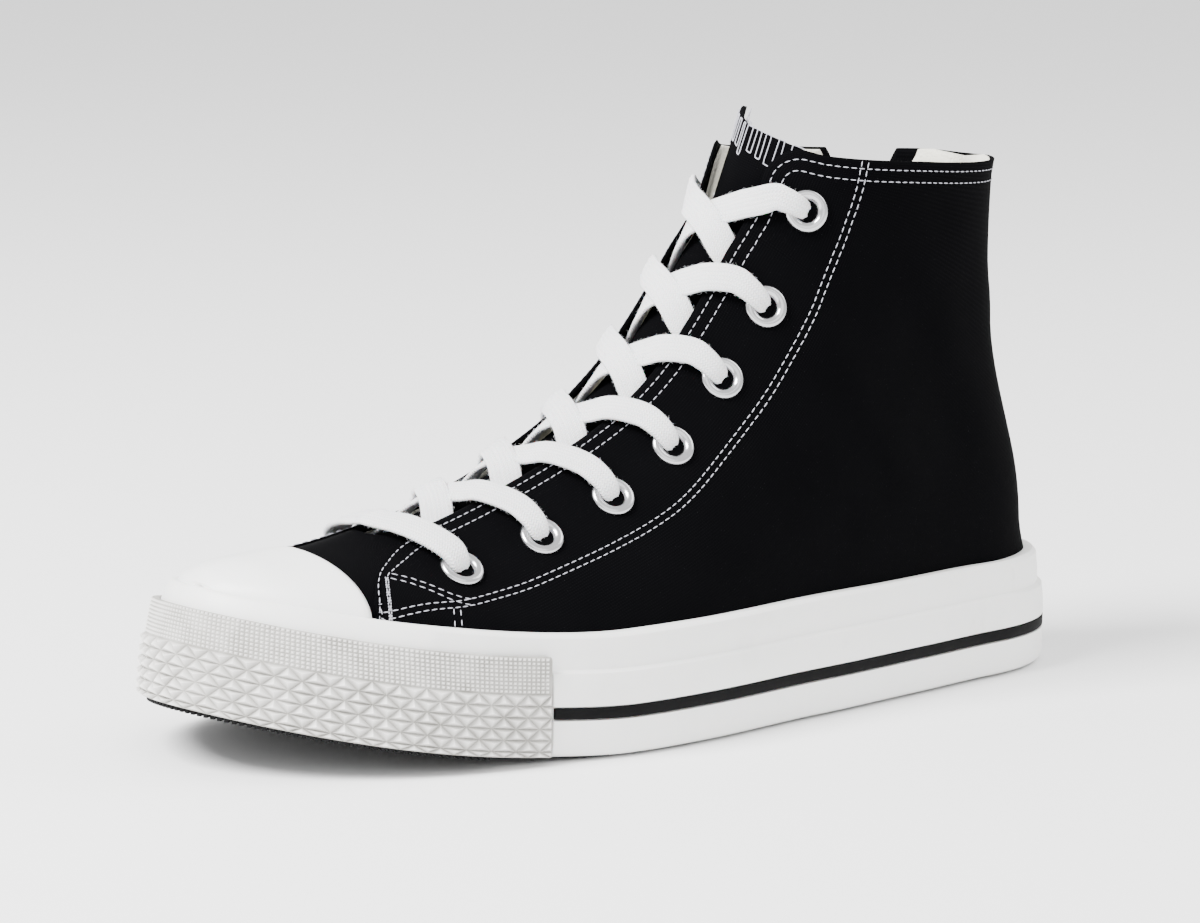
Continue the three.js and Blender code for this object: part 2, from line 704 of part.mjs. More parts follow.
// Sole pieces
function foxingSolid() {
  const profile = (x) => {
    const top = topInset(x);
    const lean = (z) => wallLean(x, z);
    const groove = stripeBottom + stripeWidth + 2 * clearance;
    return [
      { z: foxingLift, inset: 0.9 },
      { z: stripeBottom, inset: lean(stripeBottom) },
      { z: stripeBottom, inset: stripeDepth + lean(stripeBottom) },
      { z: groove, inset: stripeDepth + lean(groove) },
      { z: groove, inset: lean(groove) },
      { z: stepHeight, inset: 0.5 + lean(stepHeight) },
      { z: stepHeight + 0.8, inset: 1.5 + lean(stepHeight) },
      { z: foxingHeight - 1, inset: top - 0.1 },
      { z: foxingHeight, inset: top + 0.7 },
      { z: foxingHeight, inset: top + foxingTopWall },
      { z: outsoleEdge + clearance, inset: top + foxingTopWall },
      { z: outsoleEdge + clearance, inset: outsoleRim - clearance },
      { z: foxingLift, inset: outsoleRim - clearance },
    ];
  };
  const joint = outlinePlace(bumperJoint) - 0.0006;
  const pocket = soleBand((x) => [
    { z: -4, inset: -6 },
    { z: bumperTop + clearance, inset: -6 },
    { z: bumperTop + clearance, inset: bumperDepth + clearance + wallLean(x, bumperTop) },
    { z: 12, inset: bumperDepth + clearance + wallLean(x, 12) },
    { z: -4, inset: bumperDepth + clearance },
  ], joint, 1 - joint, 30);
  return soleBand(profile, 0, 1, 60).subtract(pocket);
}

function bumperSolid() {
  const from = outlinePlace(bumperJoint) + 0.0006;
  const to = 1 - from;
  let length = 0;
  for (let k = 0; k < 100; k += 1) {
    length += outlinePoint(from + (to - from) * k / 100).distanceTo(outlinePoint(from + (to - from) * (k + 1) / 100));
  }
  const columns = 2 * Math.round(length / pyramidPitch / 2);
  const bottom = foxingLift;
  const place = (column, z, out) => {
    const t = from + (to - from) * column / columns;
    const x = outlinePoint(t).x;
    const p = insetPoint(t, wallLean(x, z) - out);
    return new THREE.Vector3(p.x, p.y, z + soleRise(p.x));
  };
  const heights = [];
  for (let j = 0; j <= pyramidRows; j += 1) heights.push(bottom + (pyramidTop - bottom) * j / pyramidRows);
  heights.push(bumperTop - 0.7);
  const triangles = [];
  const quad = (a, b, c, d) => triangles.push(a, b, c, a, c, d);
  for (let i = 0; i < columns; i += 1) {
    for (let j = 0; j < heights.length - 1; j += 1) {
      const corners = [[i, j], [i + 1, j], [i + 1, j + 1], [i, j + 1]];
      const [a, b, c, d] = corners.map(([column, level]) => place(column, heights[level], bumperProud));
      if (j >= pyramidRows) {
        quad(a, b, c, d);
        continue;
      }
      const apex = place(i + 0.5, (heights[j] + heights[j + 1]) / 2, bumperProud + pyramidRise);
      triangles.push(a, b, apex, b, c, apex, c, d, apex, d, a, apex);
    }
    const [low, high] = [heights[0], heights[heights.length - 1]];
    quad(place(i, high, bumperProud), place(i + 1, high, bumperProud),
      place(i + 1, bumperTop, 0), place(i, bumperTop, 0));
    quad(place(i, bumperTop, 0), place(i + 1, bumperTop, 0),
      place(i + 1, bumperTop, -bumperDepth), place(i, bumperTop, -bumperDepth));
    quad(place(i, bumperTop, -bumperDepth), place(i + 1, bumperTop, -bumperDepth),
      place(i + 1, 12, -bumperDepth), place(i, 12, -bumperDepth));
    quad(place(i, 12, -bumperDepth), place(i + 1, 12, -bumperDepth),
      place(i + 1, low, -bumperDepth), place(i, low, -bumperDepth));
    quad(place(i, low, -bumperDepth), place(i + 1, low, -bumperDepth),
      place(i + 1, low, bumperProud), place(i, low, bumperProud));
  }
  for (const [column, turned] of [[0, false], [columns, true]]) {
    const ring = [
      ...heights.map((z) => place(column, z, bumperProud)),
      place(column, bumperTop, 0),
      place(column, bumperTop, -bumperDepth),
      place(column, 12, -bumperDepth),
      place(column, heights[0], -bumperDepth),
    ];
    const hub = ring[ring.length - 2];
    for (let k = 0; k < ring.length; k += 1) {
      const [a, b] = [ring[k], ring[(k + 1) % ring.length]];
      triangles.push(...(turned ? [hub, b, a] : [hub, a, b]));
    }
  }
  return solidOf(geometryOf(triangles, triangles.map((_, i) => i)));
}

function pinstripeSolid() {
  const joint = outlinePlace(bumperJoint) - 0.003;
  const low = stripeBottom + clearance;
  const high = low + stripeWidth;
  return soleBand((x) => [
    { z: low, inset: 0.1 + wallLean(x, low) },
    { z: high, inset: 0.1 + wallLean(x, high) },
    { z: high, inset: stripeDepth - clearance + wallLean(x, high) },
    { z: low, inset: stripeDepth - clearance + wallLean(x, low) },
  ], -joint, joint, 40);
}

function outsoleSolid() {
  const rim = () => outsoleRim;
  let solid = soleSlab([
    { z: 0, inset: rim },
    { z: outsoleEdge, inset: rim },
    { z: outsoleEdge, inset: upperInset },
    { z: midsoleTop, inset: upperInset },
  ], 29);
  const arm = treadChevron;
  const half = ballWidth / 2 + 5;
  const count = Math.floor((soleLength - 30) / treadPitch);
  for (let i = 0; i < count; i += 1) {
    const x = 18 + i * treadPitch;
    const chevron = new THREE.Shape([
      new THREE.Vector2(-arm, -half), new THREE.Vector2(arm, 0), new THREE.Vector2(-arm, half),
      new THREE.Vector2(-arm + treadGroove, half), new THREE.Vector2(arm + treadGroove, 0),
      new THREE.Vector2(-arm + treadGroove, -half),
    ]);
    const cut = new THREE.ExtrudeGeometry(chevron, { depth: 12, bevelEnabled: false });
    cut.translate(0, 0, treadDepth - 12);
    cut.rotateY(-Math.atan2(soleRise(x + 4) - soleRise(x - 4), 8));
    cut.translate(x, 0, soleRise(x));
    solid = solid.subtract(solidOf(cut));
  }
  return solid;
}

function insoleSolid() {
  const edge = (x) => upperInset(x) + canvasWall + 4 * clearance;
  return soleSlab([
    { z: upperFloor, inset: edge },
    { z: upperFloor + insoleThickness, inset: edge },
  ], 26);
}

// Laces: flat strips over the tongue, a bar at the bottom and a cross at every other pair
function laceStrip(path) {
  const loops = path.map((stop, i) => {
    const before = path[Math.max(0, i - 1)].point;
    const after = path[Math.min(path.length - 1, i + 1)].point;
    const along = after.clone().sub(before).normalize();
    const wide = along.clone().cross(stop.normal).normalize();
    const up = wide.clone().cross(along).normalize();
    if (stop.edge) {
      const turn = stop.edge.dot(wide);
      wide.copy(stop.edge).multiplyScalar(1 / turn);
    }
    const corner = (a, b) => stop.point.clone()
      .addScaledVector(wide, a * stop.width / 2).addScaledVector(up, b * laceThickness / 2);
    return [corner(-1, -1), corner(-0.85, 1), corner(0.85, 1), corner(1, -1)];
  });
  return loftLoops(loops, false);
}

const laceLift = 0.9 + clearance + laceThickness / 2 + 0.1;

function strand(level, side, high) {
  const start = level * eyeletSpacing;
  const out = throatHalf + eyeletSetback * setbackShares[level] - 2;
  const end = (level - 1) * eyeletSpacing + laceTuck;
  const stops = [
    { along: 0, out: side * out, depth: -laceLift, width: 5.2 },
    { along: 0.14, out: side * (out + throatHalf + 2) / 2, depth: -laceLift, width: 6.6 },
    { along: 0.3, out: side * (throatHalf - 1), depth: -laceLift + 0.8, width: laceWidth },
    { along: 0.5, out: side * 4.5, depth: high ? -0.4 : 0.9, width: laceWidth },
    { along: 0.66, out: side * 0.2, depth: high ? -0.2 : 1.1, width: laceWidth },
    { along: 0.84, out: -side * 5, depth: high ? 0.2 : 1.1, width: laceWidth },
    { along: 1, out: -side * (throatHalf - 0.9), depth: 1.1, width: laceWidth },
  ];
  return laceStrip(stops.map(({ along, out: place, depth, width }) => {
    const distance = start + (end - start) * along;
    const { point, normal } = facePoint(distance, place, depth);
    const edge = along < 1 ? null
      : facePoint(distance + 1, place, depth).point.sub(facePoint(distance - 1, place, depth).point).normalize();
    return { point, normal, width, edge };
  }));
}

function laceBar() {
  const out = throatHalf + eyeletSetback * setbackShares[0] - 2;
  const stops = [-1, -0.66, -0.4, 0.001, 0.4, 0.66, 1].map((share) => {
    const bow = -5 * (1 - share * share);
    const depth = -laceLift + 2.2 * (1 - Math.abs(share)) ** 1.5;
    const { point, normal } = facePoint(bow, share * out, depth);
    return { point, normal, width: laceWidth - 2 * share ** 4 };
  });
  return laceStrip(stops);
}

// Eyelet: a rolled ring with a short barrel through the canvas
function eyeletSolid(eyelet) {
  const profile = [
    [eyeletBore, -canvasWall - 0.2],
    [eyeletBarrel, -0.2],
    [eyeletRadius, -0.2],
    [eyeletRadius - 1, 0.9],
    [eyeletBore, 0.3],
    [eyeletBore, -canvasWall - 0.2],
  ].map(([r, y]) => new THREE.Vector2(r, y));
  return solidOf(alongNormal(new THREE.LatheGeometry(profile, 8), eyelet));
}

// Zip: a tape with its row of teeth, a slider, and a pull that hangs from the slider's bridge
function innerWallFrame(z) {
  const at = (x, height) => {
    let low = cornerRow + 0.01;
    let high = topRow;
    const find = (row) => {
      const [a, b] = [upperPoint(row, 0, -1, 0), upperPoint(row, 1, -1, 0)];
      const s = clamp((x - a.x) / (b.x - a.x));
      return upperPoint(row, s, -1, 0);
    };
    for (let i = 0; i < 40; i += 1) {
      const middle = (low + high) / 2;
      if (find(middle).z < height) low = middle;
      else high = middle;
    }
    return find(low);
  };
  const point = at(zipX, z);
  const up = at(zipX, z + 4).sub(at(zipX, z - 4)).normalize();
  const side = at(zipX + 4, z).sub(at(zipX - 4, z)).normalize();
  const normal = side.clone().cross(up).normalize();
  side.copy(up).cross(normal).normalize();
  return { point, matrix: new THREE.Matrix4().makeBasis(side, up, normal).setPosition(point) };
}

function zipTapeSolid() {
  const rows = upperRows.filter((row) => row >= 9);
  const window = (half, bottom, top) => boxSolid(
    new THREE.Vector3(zipX - half, innerWallY, bottom), new THREE.Vector3(zipX + half, -5, top),
  );
  const top = zipSliderHeight + 4;
  const tape = shellBetween(0.5, 1.7, rows, outerColumns, upperFloor)
    .intersect(window(zipTapeWidth / 2, zipBottom + clearance, top));
  const teeth = shellBetween(-0.1, 0.7, rows, outerColumns, upperFloor)
    .intersect(window(1.7, zipBottom + 3, top - 3));
  return tape.add(teeth);
}

const zipFrame = innerWallFrame(zipSliderHeight);
const bridgeLift = 3.1;
const pinHeight = 4.5;

function localBox(x0, x1, y0, y1, z0, z1) {
  return boxSolid(new THREE.Vector3(x0, y0, z0), new THREE.Vector3(x1, y1, z1));
}

function placed(solid, matrix) {
  return solid.transform(matrix.toArray());
}

function zipSliderSolid() {
  const body = localBox(-3.6, 3.6, -4.5, 4.5, 0.6, bridgeLift);
  const upright = (y) => localBox(-1.1, 1.1, y - 0.7, y + 0.7, bridgeLift - 0.2, pinHeight + 2.2);
  const bar = localBox(-1.1, 1.1, -3.2, 3.2, pinHeight + 1.1, pinHeight + 2.2);
  return placed(body.add(upright(-2.5)).add(upright(2.5)).add(bar), zipFrame.matrix);
}

function zipPullSolid() {
  const low = pinHeight - 0.7;
  const high = pinHeight + 0.7;
  const frame = localBox(-3.4, 3.4, -zipPullLength, 0.8, low, high);
  const window = localBox(-1.7, 1.7, -5.2, -0.8, low - 1, high + 1);
  const hole = localBox(-1.2, 1.2, -zipPullLength + 2.5, -zipPullLength + 5, low - 1, high + 1);
  return placed(frame.subtract(window).subtract(hole), zipFrame.matrix);
}

// Scene
const shades = {
  canvas: ['#0b0b0c', 0.95, 0],
  foxing: ['#f0efed', 0.45, 0],
  bumper: ['#e4e3e0', 0.55, 0],
  stripe: ['#151515', 0.5, 0],
  tread: ['#1b1b1c', 0.7, 0],
  cotton: ['#f4f4f3', 0.9, 0],
  lining: ['#e8e6da', 0.95, 0],
  silver: ['#d8d8da', 0.3, 1],
  darkMetal: ['#55565a', 0.35, 1],
};

const sneaker = new THREE.Group();

function addPiece(name, solid, shade) {
  const mesh = solid.getMesh();
  const geometry = new THREE.BufferGeometry();
  geometry.setAttribute('position', new THREE.Float32BufferAttribute(mesh.vertProperties, 3));
  geometry.setIndex(new THREE.Uint32BufferAttribute(mesh.triVerts, 1));
  const [color, roughness, metalness] = shades[shade];
  const piece = new THREE.Mesh(geometry, new THREE.MeshStandardMaterial({ color, roughness, metalness }));
  piece.name = name;
  sneaker.add(piece);
}

addPiece('upper', upperSolid(), 'canvas');
addPiece('toe_cap', toeCapSolid(), 'foxing');
addPiece('heel_stay', heelStaySolid(), 'canvas');
addPiece('tongue', tongueSolid(), 'canvas');
addPiece('foxing', foxingSolid(), 'foxing');
addPiece('toe_bumper', bumperSolid(), 'bumper');
addPiece('pinstripe', pinstripeSolid(), 'stripe');
addPiece('outsole', outsoleSolid(), 'tread');
addPiece('insole', insoleSolid(), 'lining');
for (const eyelet of eyelets) {
  const side = eyelet.side > 0 ? 'outer' : 'inner';
  addPiece(`eyelet_${side}_${eyelet.index + 1}`, eyeletSolid(eyelet), 'silver');
}
addPiece('lace_bar', laceBar(), 'cotton');
for (let level = 1; level < eyeletCount; level += 1) {
  addPiece(`lace_cross_${level}`, strand(level, 1, false).add(strand(level, -1, true)), 'cotton');
}
addPiece('zip_tape', zipTapeSolid(), 'stripe');
addPiece('zip_slider', zipSliderSolid(), 'darkMetal');
addPiece('zip_pull', zipPullSolid(), 'darkMetal');

const bounds = new THREE.Box3().setFromObject(sneaker);
const centre = bounds.getCenter(new THREE.Vector3());
sneaker.position.set(-centre.x, -centre.y, -bounds.min.z);

export default sneaker;
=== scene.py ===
import bpy
import bmesh
import math
import numpy as np
from mathutils import Matrix, Vector
from mathutils.bvhtree import BVHTree


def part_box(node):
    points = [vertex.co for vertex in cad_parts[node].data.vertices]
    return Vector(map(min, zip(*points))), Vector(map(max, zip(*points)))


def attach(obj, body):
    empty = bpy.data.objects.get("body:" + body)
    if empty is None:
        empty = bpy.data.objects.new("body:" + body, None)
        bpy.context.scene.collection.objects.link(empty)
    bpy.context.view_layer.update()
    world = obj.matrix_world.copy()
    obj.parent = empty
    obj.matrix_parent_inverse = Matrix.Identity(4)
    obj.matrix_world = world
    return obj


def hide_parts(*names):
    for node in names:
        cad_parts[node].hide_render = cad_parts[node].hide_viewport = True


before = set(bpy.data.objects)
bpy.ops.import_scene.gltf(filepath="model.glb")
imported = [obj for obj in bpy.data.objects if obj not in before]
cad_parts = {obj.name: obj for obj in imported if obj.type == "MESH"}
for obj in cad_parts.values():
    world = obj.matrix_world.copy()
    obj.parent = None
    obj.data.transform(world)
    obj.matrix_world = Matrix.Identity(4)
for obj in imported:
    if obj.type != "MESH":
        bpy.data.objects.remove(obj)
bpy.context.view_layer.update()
mm = 0.001

# Shoe coordinates are millimetres, x from the back of the heel, y outward, z up from the floor
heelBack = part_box("foxing")[0].x / mm
stayLow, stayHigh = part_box("heel_stay")
middleLine = (stayLow.y + stayHigh.y) / 2 / mm
origin = np.array([heelBack, middleLine, 0.0])

camera = {
    "azimuth": 139.5,
    "height": 8.273,
    "roll": -0.896,
    "distance": 1200.0,
    "lens": 143.3,
    "aim": (137.5, 0.0, 70.0),
    "shift": (-0.0234, -0.0268),
}


def addObject(name, data):
    thing = bpy.data.objects.new(name, data)
    bpy.context.scene.collection.objects.link(thing)
    return thing


def makeCamera():
    data = bpy.data.cameras.new("camera")
    data.lens = camera["lens"]
    data.sensor_width = 36.0
    data.clip_end = 50.0
    data.shift_x, data.shift_y = camera["shift"]
    turn, rise, roll = (math.radians(camera[key]) for key in ("azimuth", "height", "roll"))
    place = (Matrix.Rotation(turn, 4, "Z") @ Matrix.Rotation(math.pi / 2 - rise, 4, "X")
             @ Matrix.Rotation(-roll, 4, "Z"))
    aim = Vector(camera["aim"]) + Vector(origin)
    place.translation = (aim + place.col[2].to_3d() * camera["distance"]) * mm
    view = addObject("camera", data)
    view.matrix_world = place
    bpy.context.scene.camera = view


makeCamera()
print("camera set")

# The last: the same form that the solids follow
last = {
    "length": 275.0,
    "ball": 97.5,
    "toeSpring": 14.8,
    "springStart": 0.64,
    "springPower": 1.8,
    "leanPlace": (0.72, 0.2),
    "foxingHeight": 30.3,
    "collarHeight": 134.4,
    "topInset": 2.4,
    "toeLean": 4.1,
    "foxingWall": 2.2,
    "clearance": 0.3,
    "throatHalf": 11.0,
    "throatEnd": 0.808,
    "cornerRow": 13,
    "topRow": 16,
    "heelDepth": 32.0,
    "straightHeel": 0.16,
    "heelBlend": 34.0,
    "footTuck": 2.0,
    # section where each blend starts, and over how many sections it runs
    "followRows": (6.3, 2.8),
    "narrowRows": (4.9, 4.2),
    "centreRows": (1.4, 4.2),
    "collarRows": (12.0, 16.0),
}
outline = {
    "at": [0, 0.06, 0.12, 0.25, 0.40, 0.55, 0.66, 0.75, 0.85, 0.93, 1],
    "half": [0.338, 0.337, 0.344, 0.365, 0.396, 0.470, 0.505, 0.500, 0.498, 0.495, 0.445],
    "centre": [0, 0, -0.004, 0.027, 0.057, 0.045, 0.013, -0.030, -0.046, -0.060, -0.045],
    "heelRound": (0.14, 2.0),
    "toeRound": (0.28, 2.2),
}
sections = {
    "ridge": [0.9655, 0.9560, 0.9345, 0.8945, 0.8436, 0.7890, 0.7433, 0.6673, 0.5818, 0.5182, 0.4745,
              0.4309, 0.4210, 0.4135, 0.4020, 0.3836, 0.3600, 0.3380],
    "rise": [0.004, 0.031, 0.063, 0.096, 0.141, 0.208, 0.265, 0.344, 0.434, 0.549, 0.679,
             0.833, 0.870, 0.898, 0.939, 1.025, 1.169, 1.300],
    "foot": [0.9655, 0.9560, 0.9345, 0.8945, 0.8400, 0.7710, 0.7055, 0.5930, 0.4650, 0.3350, 0.2110,
             0.0980, 0.0500, 0, 0, 0, 0, 0],
    "back": [0, 0, 0, 0, 0, 0, 0, 0, 0, 0, 0, 0, 0, 0, 0.36, 1.042, 1.186, 1.320],
    "reach": [1, 1, 1, 1, 1, 1, 1, 0.95, 0.85, 0.70, 0.52, 0.40, 0.39, 0.38, 0.44, 0.50, 0.50, 0.50],
    "side": [2, 2, 2, 2, 1.7, 1.25, 1.2, 1.4, 1.8, 1.9, 1.9, 1.9, 1.9, 1.9, 1.9, 1.9, 1.9, 1.9],
    "outer": [2, 2, 2, 2, 1.85, 1.6, 1.5, 1.6, 1.8, 1.9, 1.9, 1.9, 1.88, 1.86, 1.8, 1.8, 1.8, 1.8],
    "inner": [1.5, 1.5, 1.45, 1.4, 1.25, 1.15, 1.1, 1.25, 1.6,
              1.9, 1.9, 1.9, 1.88, 1.86, 1.8, 1.8, 1.8, 1.8],
}
backTable = {
    "up": [0, 0.09, 0.22, 0.35, 0.47, 0.59, 0.71, 0.86, 1.02, 1.25],
    "inward": [0.0236, 0.0218, 0.0189, 0.0255, 0.0418, 0.0600, 0.0690, 0.0727, 0.0727, 0.0709],
}
waistTable = {"up": [0.21, 0.33, 0.52, 0.74, 1.02, 1.25], "width": [1, 0.98, 0.93, 0.88, 0.93, 0.96]}
collarTable = {
    "at": [-0.20, 0.07, 0.145, 0.236, 0.331, 0.350, 0.362, 0.372, 0.377, 0.379, 0.388, 0.520],
    "lift": [-0.004, 0, 0.004, 0.018, 0.038, 0.054, 0.062, 0.052, 0.030, -0.004, -0.060, -0.060],
}
quarterTable = {
    "at": [0.745, 0.790, 0.829, 0.847, 0.858, 0.863, 0.866],
    "out": [0.060, 0.128, 0.185, 0.226, 0.270, 0.320, 0.620],
}


def smoothCurve(xs, ys):  # monotone cubic through the points
    xs, ys = np.asarray(xs, float), np.asarray(ys, float)
    gap = np.diff(xs)
    slope = np.diff(ys) / gap
    tangent = np.zeros(len(xs))
    tangent[0], tangent[-1] = slope[0], slope[-1]
    for i in range(1, len(xs) - 1):
        if slope[i - 1] * slope[i] > 0:
            a, b = gap[i - 1], gap[i]
            tangent[i] = 3 * (a + b) / ((2 * b + a) / slope[i - 1] + (b + 2 * a) / slope[i])

    def value(x):
        x = np.clip(x, xs[0], xs[-1])
        i = np.clip(np.searchsorted(xs, x) - 1, 0, len(gap) - 1)
        t = (x - xs[i]) / gap[i]
        u = 1 - t
        return (ys[i] * (1 + 2 * t) * u * u + tangent[i] * gap[i] * t * u * u
                + ys[i + 1] * t * t * (3 - 2 * t) - tangent[i + 1] * gap[i] * t * t * u)
    return value


def unit(vectors):
    return vectors / np.maximum(np.linalg.norm(vectors, axis=-1, keepdims=True), 1e-9)


def runOf(points):  # how far along the line each of its points lies
    return np.concatenate([[0], np.cumsum(np.linalg.norm(np.diff(points, axis=0), axis=1))])


def ramp(value, start, run):  # 0 before the start, 1 after the run
    return np.clip((value - start) / run, 0, 1)


def blendUp(v):
    t = np.clip(v, 0, 1)
    return t * t * (3 - 2 * t)


def crowded(v, share, power):  # 0 to 1 in steps that are shorter near nought
    return share * v + (1 - share) * v ** power


def roundEnd(q, power=2.0):
    return np.sqrt(np.maximum(0, 1 - (1 - np.clip(q, 0, 1)) ** power))


length, ball = last["length"], last["ball"]
shaft = last["collarHeight"] - last["foxingHeight"]
outlineHalf = smoothCurve(outline["at"], outline["half"])
outlineCentre = smoothCurve(outline["at"], outline["centre"])
rowCurves = {key: smoothCurve(range(len(values)), values) for key, values in sections.items()}
backInward = smoothCurve(backTable["up"], backTable["inward"])
waistWidth = smoothCurve(waistTable["up"], waistTable["width"])
collarLift = smoothCurve(collarTable["at"], collarTable["lift"])
quarterOut = smoothCurve(quarterTable["at"], quarterTable["out"])


def outlinePoint(t):
    t = np.asarray(t, float)
    angle = 2 * np.pi * t
    s = (1 - np.cos(angle)) / 2
    (heel, heelPower), (toe, toePower) = outline["heelRound"], outline["toeRound"]
    half = outlineHalf(s) * ball * roundEnd(s / heel, heelPower) * roundEnd((1 - s) / toe, toePower)
    return np.stack([s * length, outlineCentre(s) * ball + np.sign(np.sin(angle)) * half], -1)


def insetPoint(t, inset):
    t = np.asarray(t, float)
    along = outlinePoint(t + 0.0006) - outlinePoint(t - 0.0006)
    normal = np.stack([along[..., 1], -along[..., 0]], -1)
    return outlinePoint(t) + unit(normal) * np.asarray(inset)[..., None]


def soleRise(x):
    share = ramp(x / length, last["springStart"], 1 - last["springStart"])
    return last["toeSpring"] * share ** last["springPower"]


def leanShare(x):
    return blendUp(ramp(x / length, *last["leanPlace"]))


def upperInset(x):
    top = last["topInset"] + last["toeLean"] * leanShare(x)
    return top + last["foxingWall"] + 1.5 * last["clearance"]


def wallLean(x, z):
    return last["toeLean"] * leanShare(x) * (np.maximum(z, 0) / last["foxingHeight"]) ** 2


def backLine(z):
    return backInward(z / last["collarHeight"]) * length


planCurves = {}


def planOf(depth):
    if depth not in planCurves:
        curves = []
        for side in (1, -1):
            t = np.linspace(0, 0.5, 241) if side > 0 else 1 - np.linspace(0, 0.5, 241)
            p = insetPoint(t, upperInset(outlinePoint(t)[:, 0]) + depth)
            kept = [0]
            for k in range(1, len(p)):
                if p[k, 0] > p[kept[-1], 0] + 1e-4:
                    kept.append(k)
            curves.append((smoothCurve(p[kept, 0], p[kept, 1]), p[kept[-1], 0]))
        planCurves[depth] = (curves[0][0], curves[1][0], min(curves[0][1], curves[1][1]),
                             float(upperInset(0.0)) + depth)
    return planCurves[depth]


def ridgePoint(row, depth):
    def at(r):
        x = rowCurves["ridge"](r) * length
        return np.stack([x, last["foxingHeight"] + soleRise(x) + rowCurves["rise"](r) * shaft], -1)
    row = np.asarray(row, float)
    along = unit(at(np.minimum(row + 0.02, 17)) - at(np.maximum(row - 0.02, 0)))
    return at(row) + np.stack([-along[..., 1], along[..., 0]], -1) * depth


def upperPoint(row, s, side, depth=0.0):
    row, s = np.broadcast_arrays(np.asarray(row, float), np.asarray(s, float))
    outerPlan, innerPlan, front, back = planOf(depth)
    ridge = ridgePoint(row, depth)
    ridgeX = np.minimum(ridge[..., 0], front)
    footX = np.clip(rowCurves["foot"](row) * length, back, front)
    footZ = last["foxingHeight"] - last["footTuck"] + soleRise(footX)
    rise = rowCurves["back"](row) * shaft
    inShaft = row > last["cornerRow"]
    footX = np.where(inShaft, backLine(footZ + rise) + depth, footX)
    footZ = np.where(inShaft, footZ + rise, footZ)
    x = ridgeX + (footX - ridgeX) * s
    z = ridge[..., 1] + (footZ - ridge[..., 1]) * s
    follow = ramp(row, *last["followRows"])
    planX = np.maximum(footX + (x - footX) * follow, last["straightHeel"] * length)
    outer, inner = outerPlan(planX), innerPlan(planX)
    half, centre = (outer - inner) / 2, (outer + inner) / 2
    nearSole = 1 - blendUp((z - last["foxingHeight"]) / last["heelBlend"])
    trueX = np.maximum(x - np.maximum(0, backLine(z) + depth - back), back)
    trueHalf = np.where(trueX > back + 1e-6, (outerPlan(trueX) - innerPlan(trueX)) / 2, 0)
    narrow = 1 + (waistWidth(z / last["collarHeight"]) - 1) * ramp(row, *last["narrowRows"])
    turn = 1 - (1 - np.clip(s / rowCurves["reach"](row), 0, 1)) ** rowCurves["side"](row)
    crown = turn ** (1 / rowCurves["outer" if side > 0 else "inner"](row))
    shaftHeel = roundEnd((x - backLine(z) - depth) / last["heelDepth"])
    soleHeel = shaftHeel + (trueHalf / half - shaftHeel) * nearSole
    heel = np.where(x < last["straightHeel"] * length, soleHeel, shaftHeel)
    centring = ramp(row, *last["centreRows"])
    y = centre * (1 - centring + centring * s) + side * half * narrow * crown * heel
    return np.stack([x, y, z], -1)


def rootOf(test, low, high, like):  # where test turns from below nought to above it
    low, high = np.full_like(like, low), np.full_like(like, high)
    for _ in range(34):
        middle = (low + high) / 2
        below = test(middle) < 0
        low, high = np.where(below, middle, low), np.where(below, high, middle)
    return (low + high) / 2


def edgeWidth(x):  # half the opening between the quarters, along the throat and round their front
    return np.maximum(last["throatHalf"], quarterOut(x / length) * ball)


def edgeShare(row, side):
    def test(s):
        p = upperPoint(row, s, side)
        return np.abs(p[..., 1]) - edgeWidth(p[..., 0])
    return rootOf(test, 0, 1, row)


def collarZ(x):
    return last["collarHeight"] + collarLift(x / length) * shaft


def collarRow(s, side):
    def test(row):
        p = upperPoint(row, s, side)
        return p[..., 2] - collarZ(p[..., 0])
    return rootOf(test, *last["collarRows"], s)


ridgeRows = np.linspace(0, last["topRow"], 801)
ridgeRun = runOf(ridgePoint(ridgeRows, 0))
lowestEyelet = 0.7745
eyeletRun = np.interp(-lowestEyelet, -rowCurves["ridge"](ridgeRows), ridgeRun)


def facePoint(distance, out, depth=0.0):  # distance along the ridge from the lowest eyelet, out to a side
    distance, out, depth = np.broadcast_arrays(*[np.asarray(v, float) for v in (distance, out, depth)])
    row = np.interp(distance + eyeletRun, ridgeRun, ridgeRows)
    points = np.zeros(distance.shape + (3,))
    normals = np.zeros(distance.shape + (3,))
    for side in (1, -1):
        here = (out >= 0) if side > 0 else (out < 0)
        if not here.any():
            continue
        r = row[here]
        share = rootOf(lambda s: np.abs(upperPoint(r, s, side)[..., 1]) - np.abs(out[here]),
                       0, 0.9 * rowCurves["reach"](r), r)
        p = upperPoint(r, share, side)
        along = upperPoint(r + 0.05, share, side) - upperPoint(r - 0.05, share, side)
        across = upperPoint(r, share + 0.01, side) - p
        n = unit(np.cross(across, along) * side)
        line = ridgePoint(r, -1.0) - ridgePoint(r, 0.0)
        top = np.insert(line, 1, 0, axis=-1)
        near = np.clip(1 - np.abs(out[here]) / 6, 0, 1)[..., None]
        n = unit(n * (1 - near) + top * near)
        points[here] = p - n * depth[here][..., None]
        normals[here] = n
    return points, normals


# Small helpers
def toWorld(points):
    return (np.asarray(points, float) + origin) * mm


def meshOf(name, points, faces, uvs=None, smooth=True, edges=()):
    mesh = bpy.data.meshes.new(name)
    mesh.from_pydata([tuple(p) for p in toWorld(points)], edges, faces)
    mesh.update()
    if uvs is not None:
        layer = mesh.uv_layers.new(name="cloth")
        loopVertex = np.zeros(len(mesh.loops), np.int32)
        mesh.loops.foreach_get("vertex_index", loopVertex)
        layer.data.foreach_set("uv", np.asarray(uvs, np.float32)[loopVertex].ravel())
    if smooth:
        mesh.shade_smooth()
    return addObject(name, mesh)


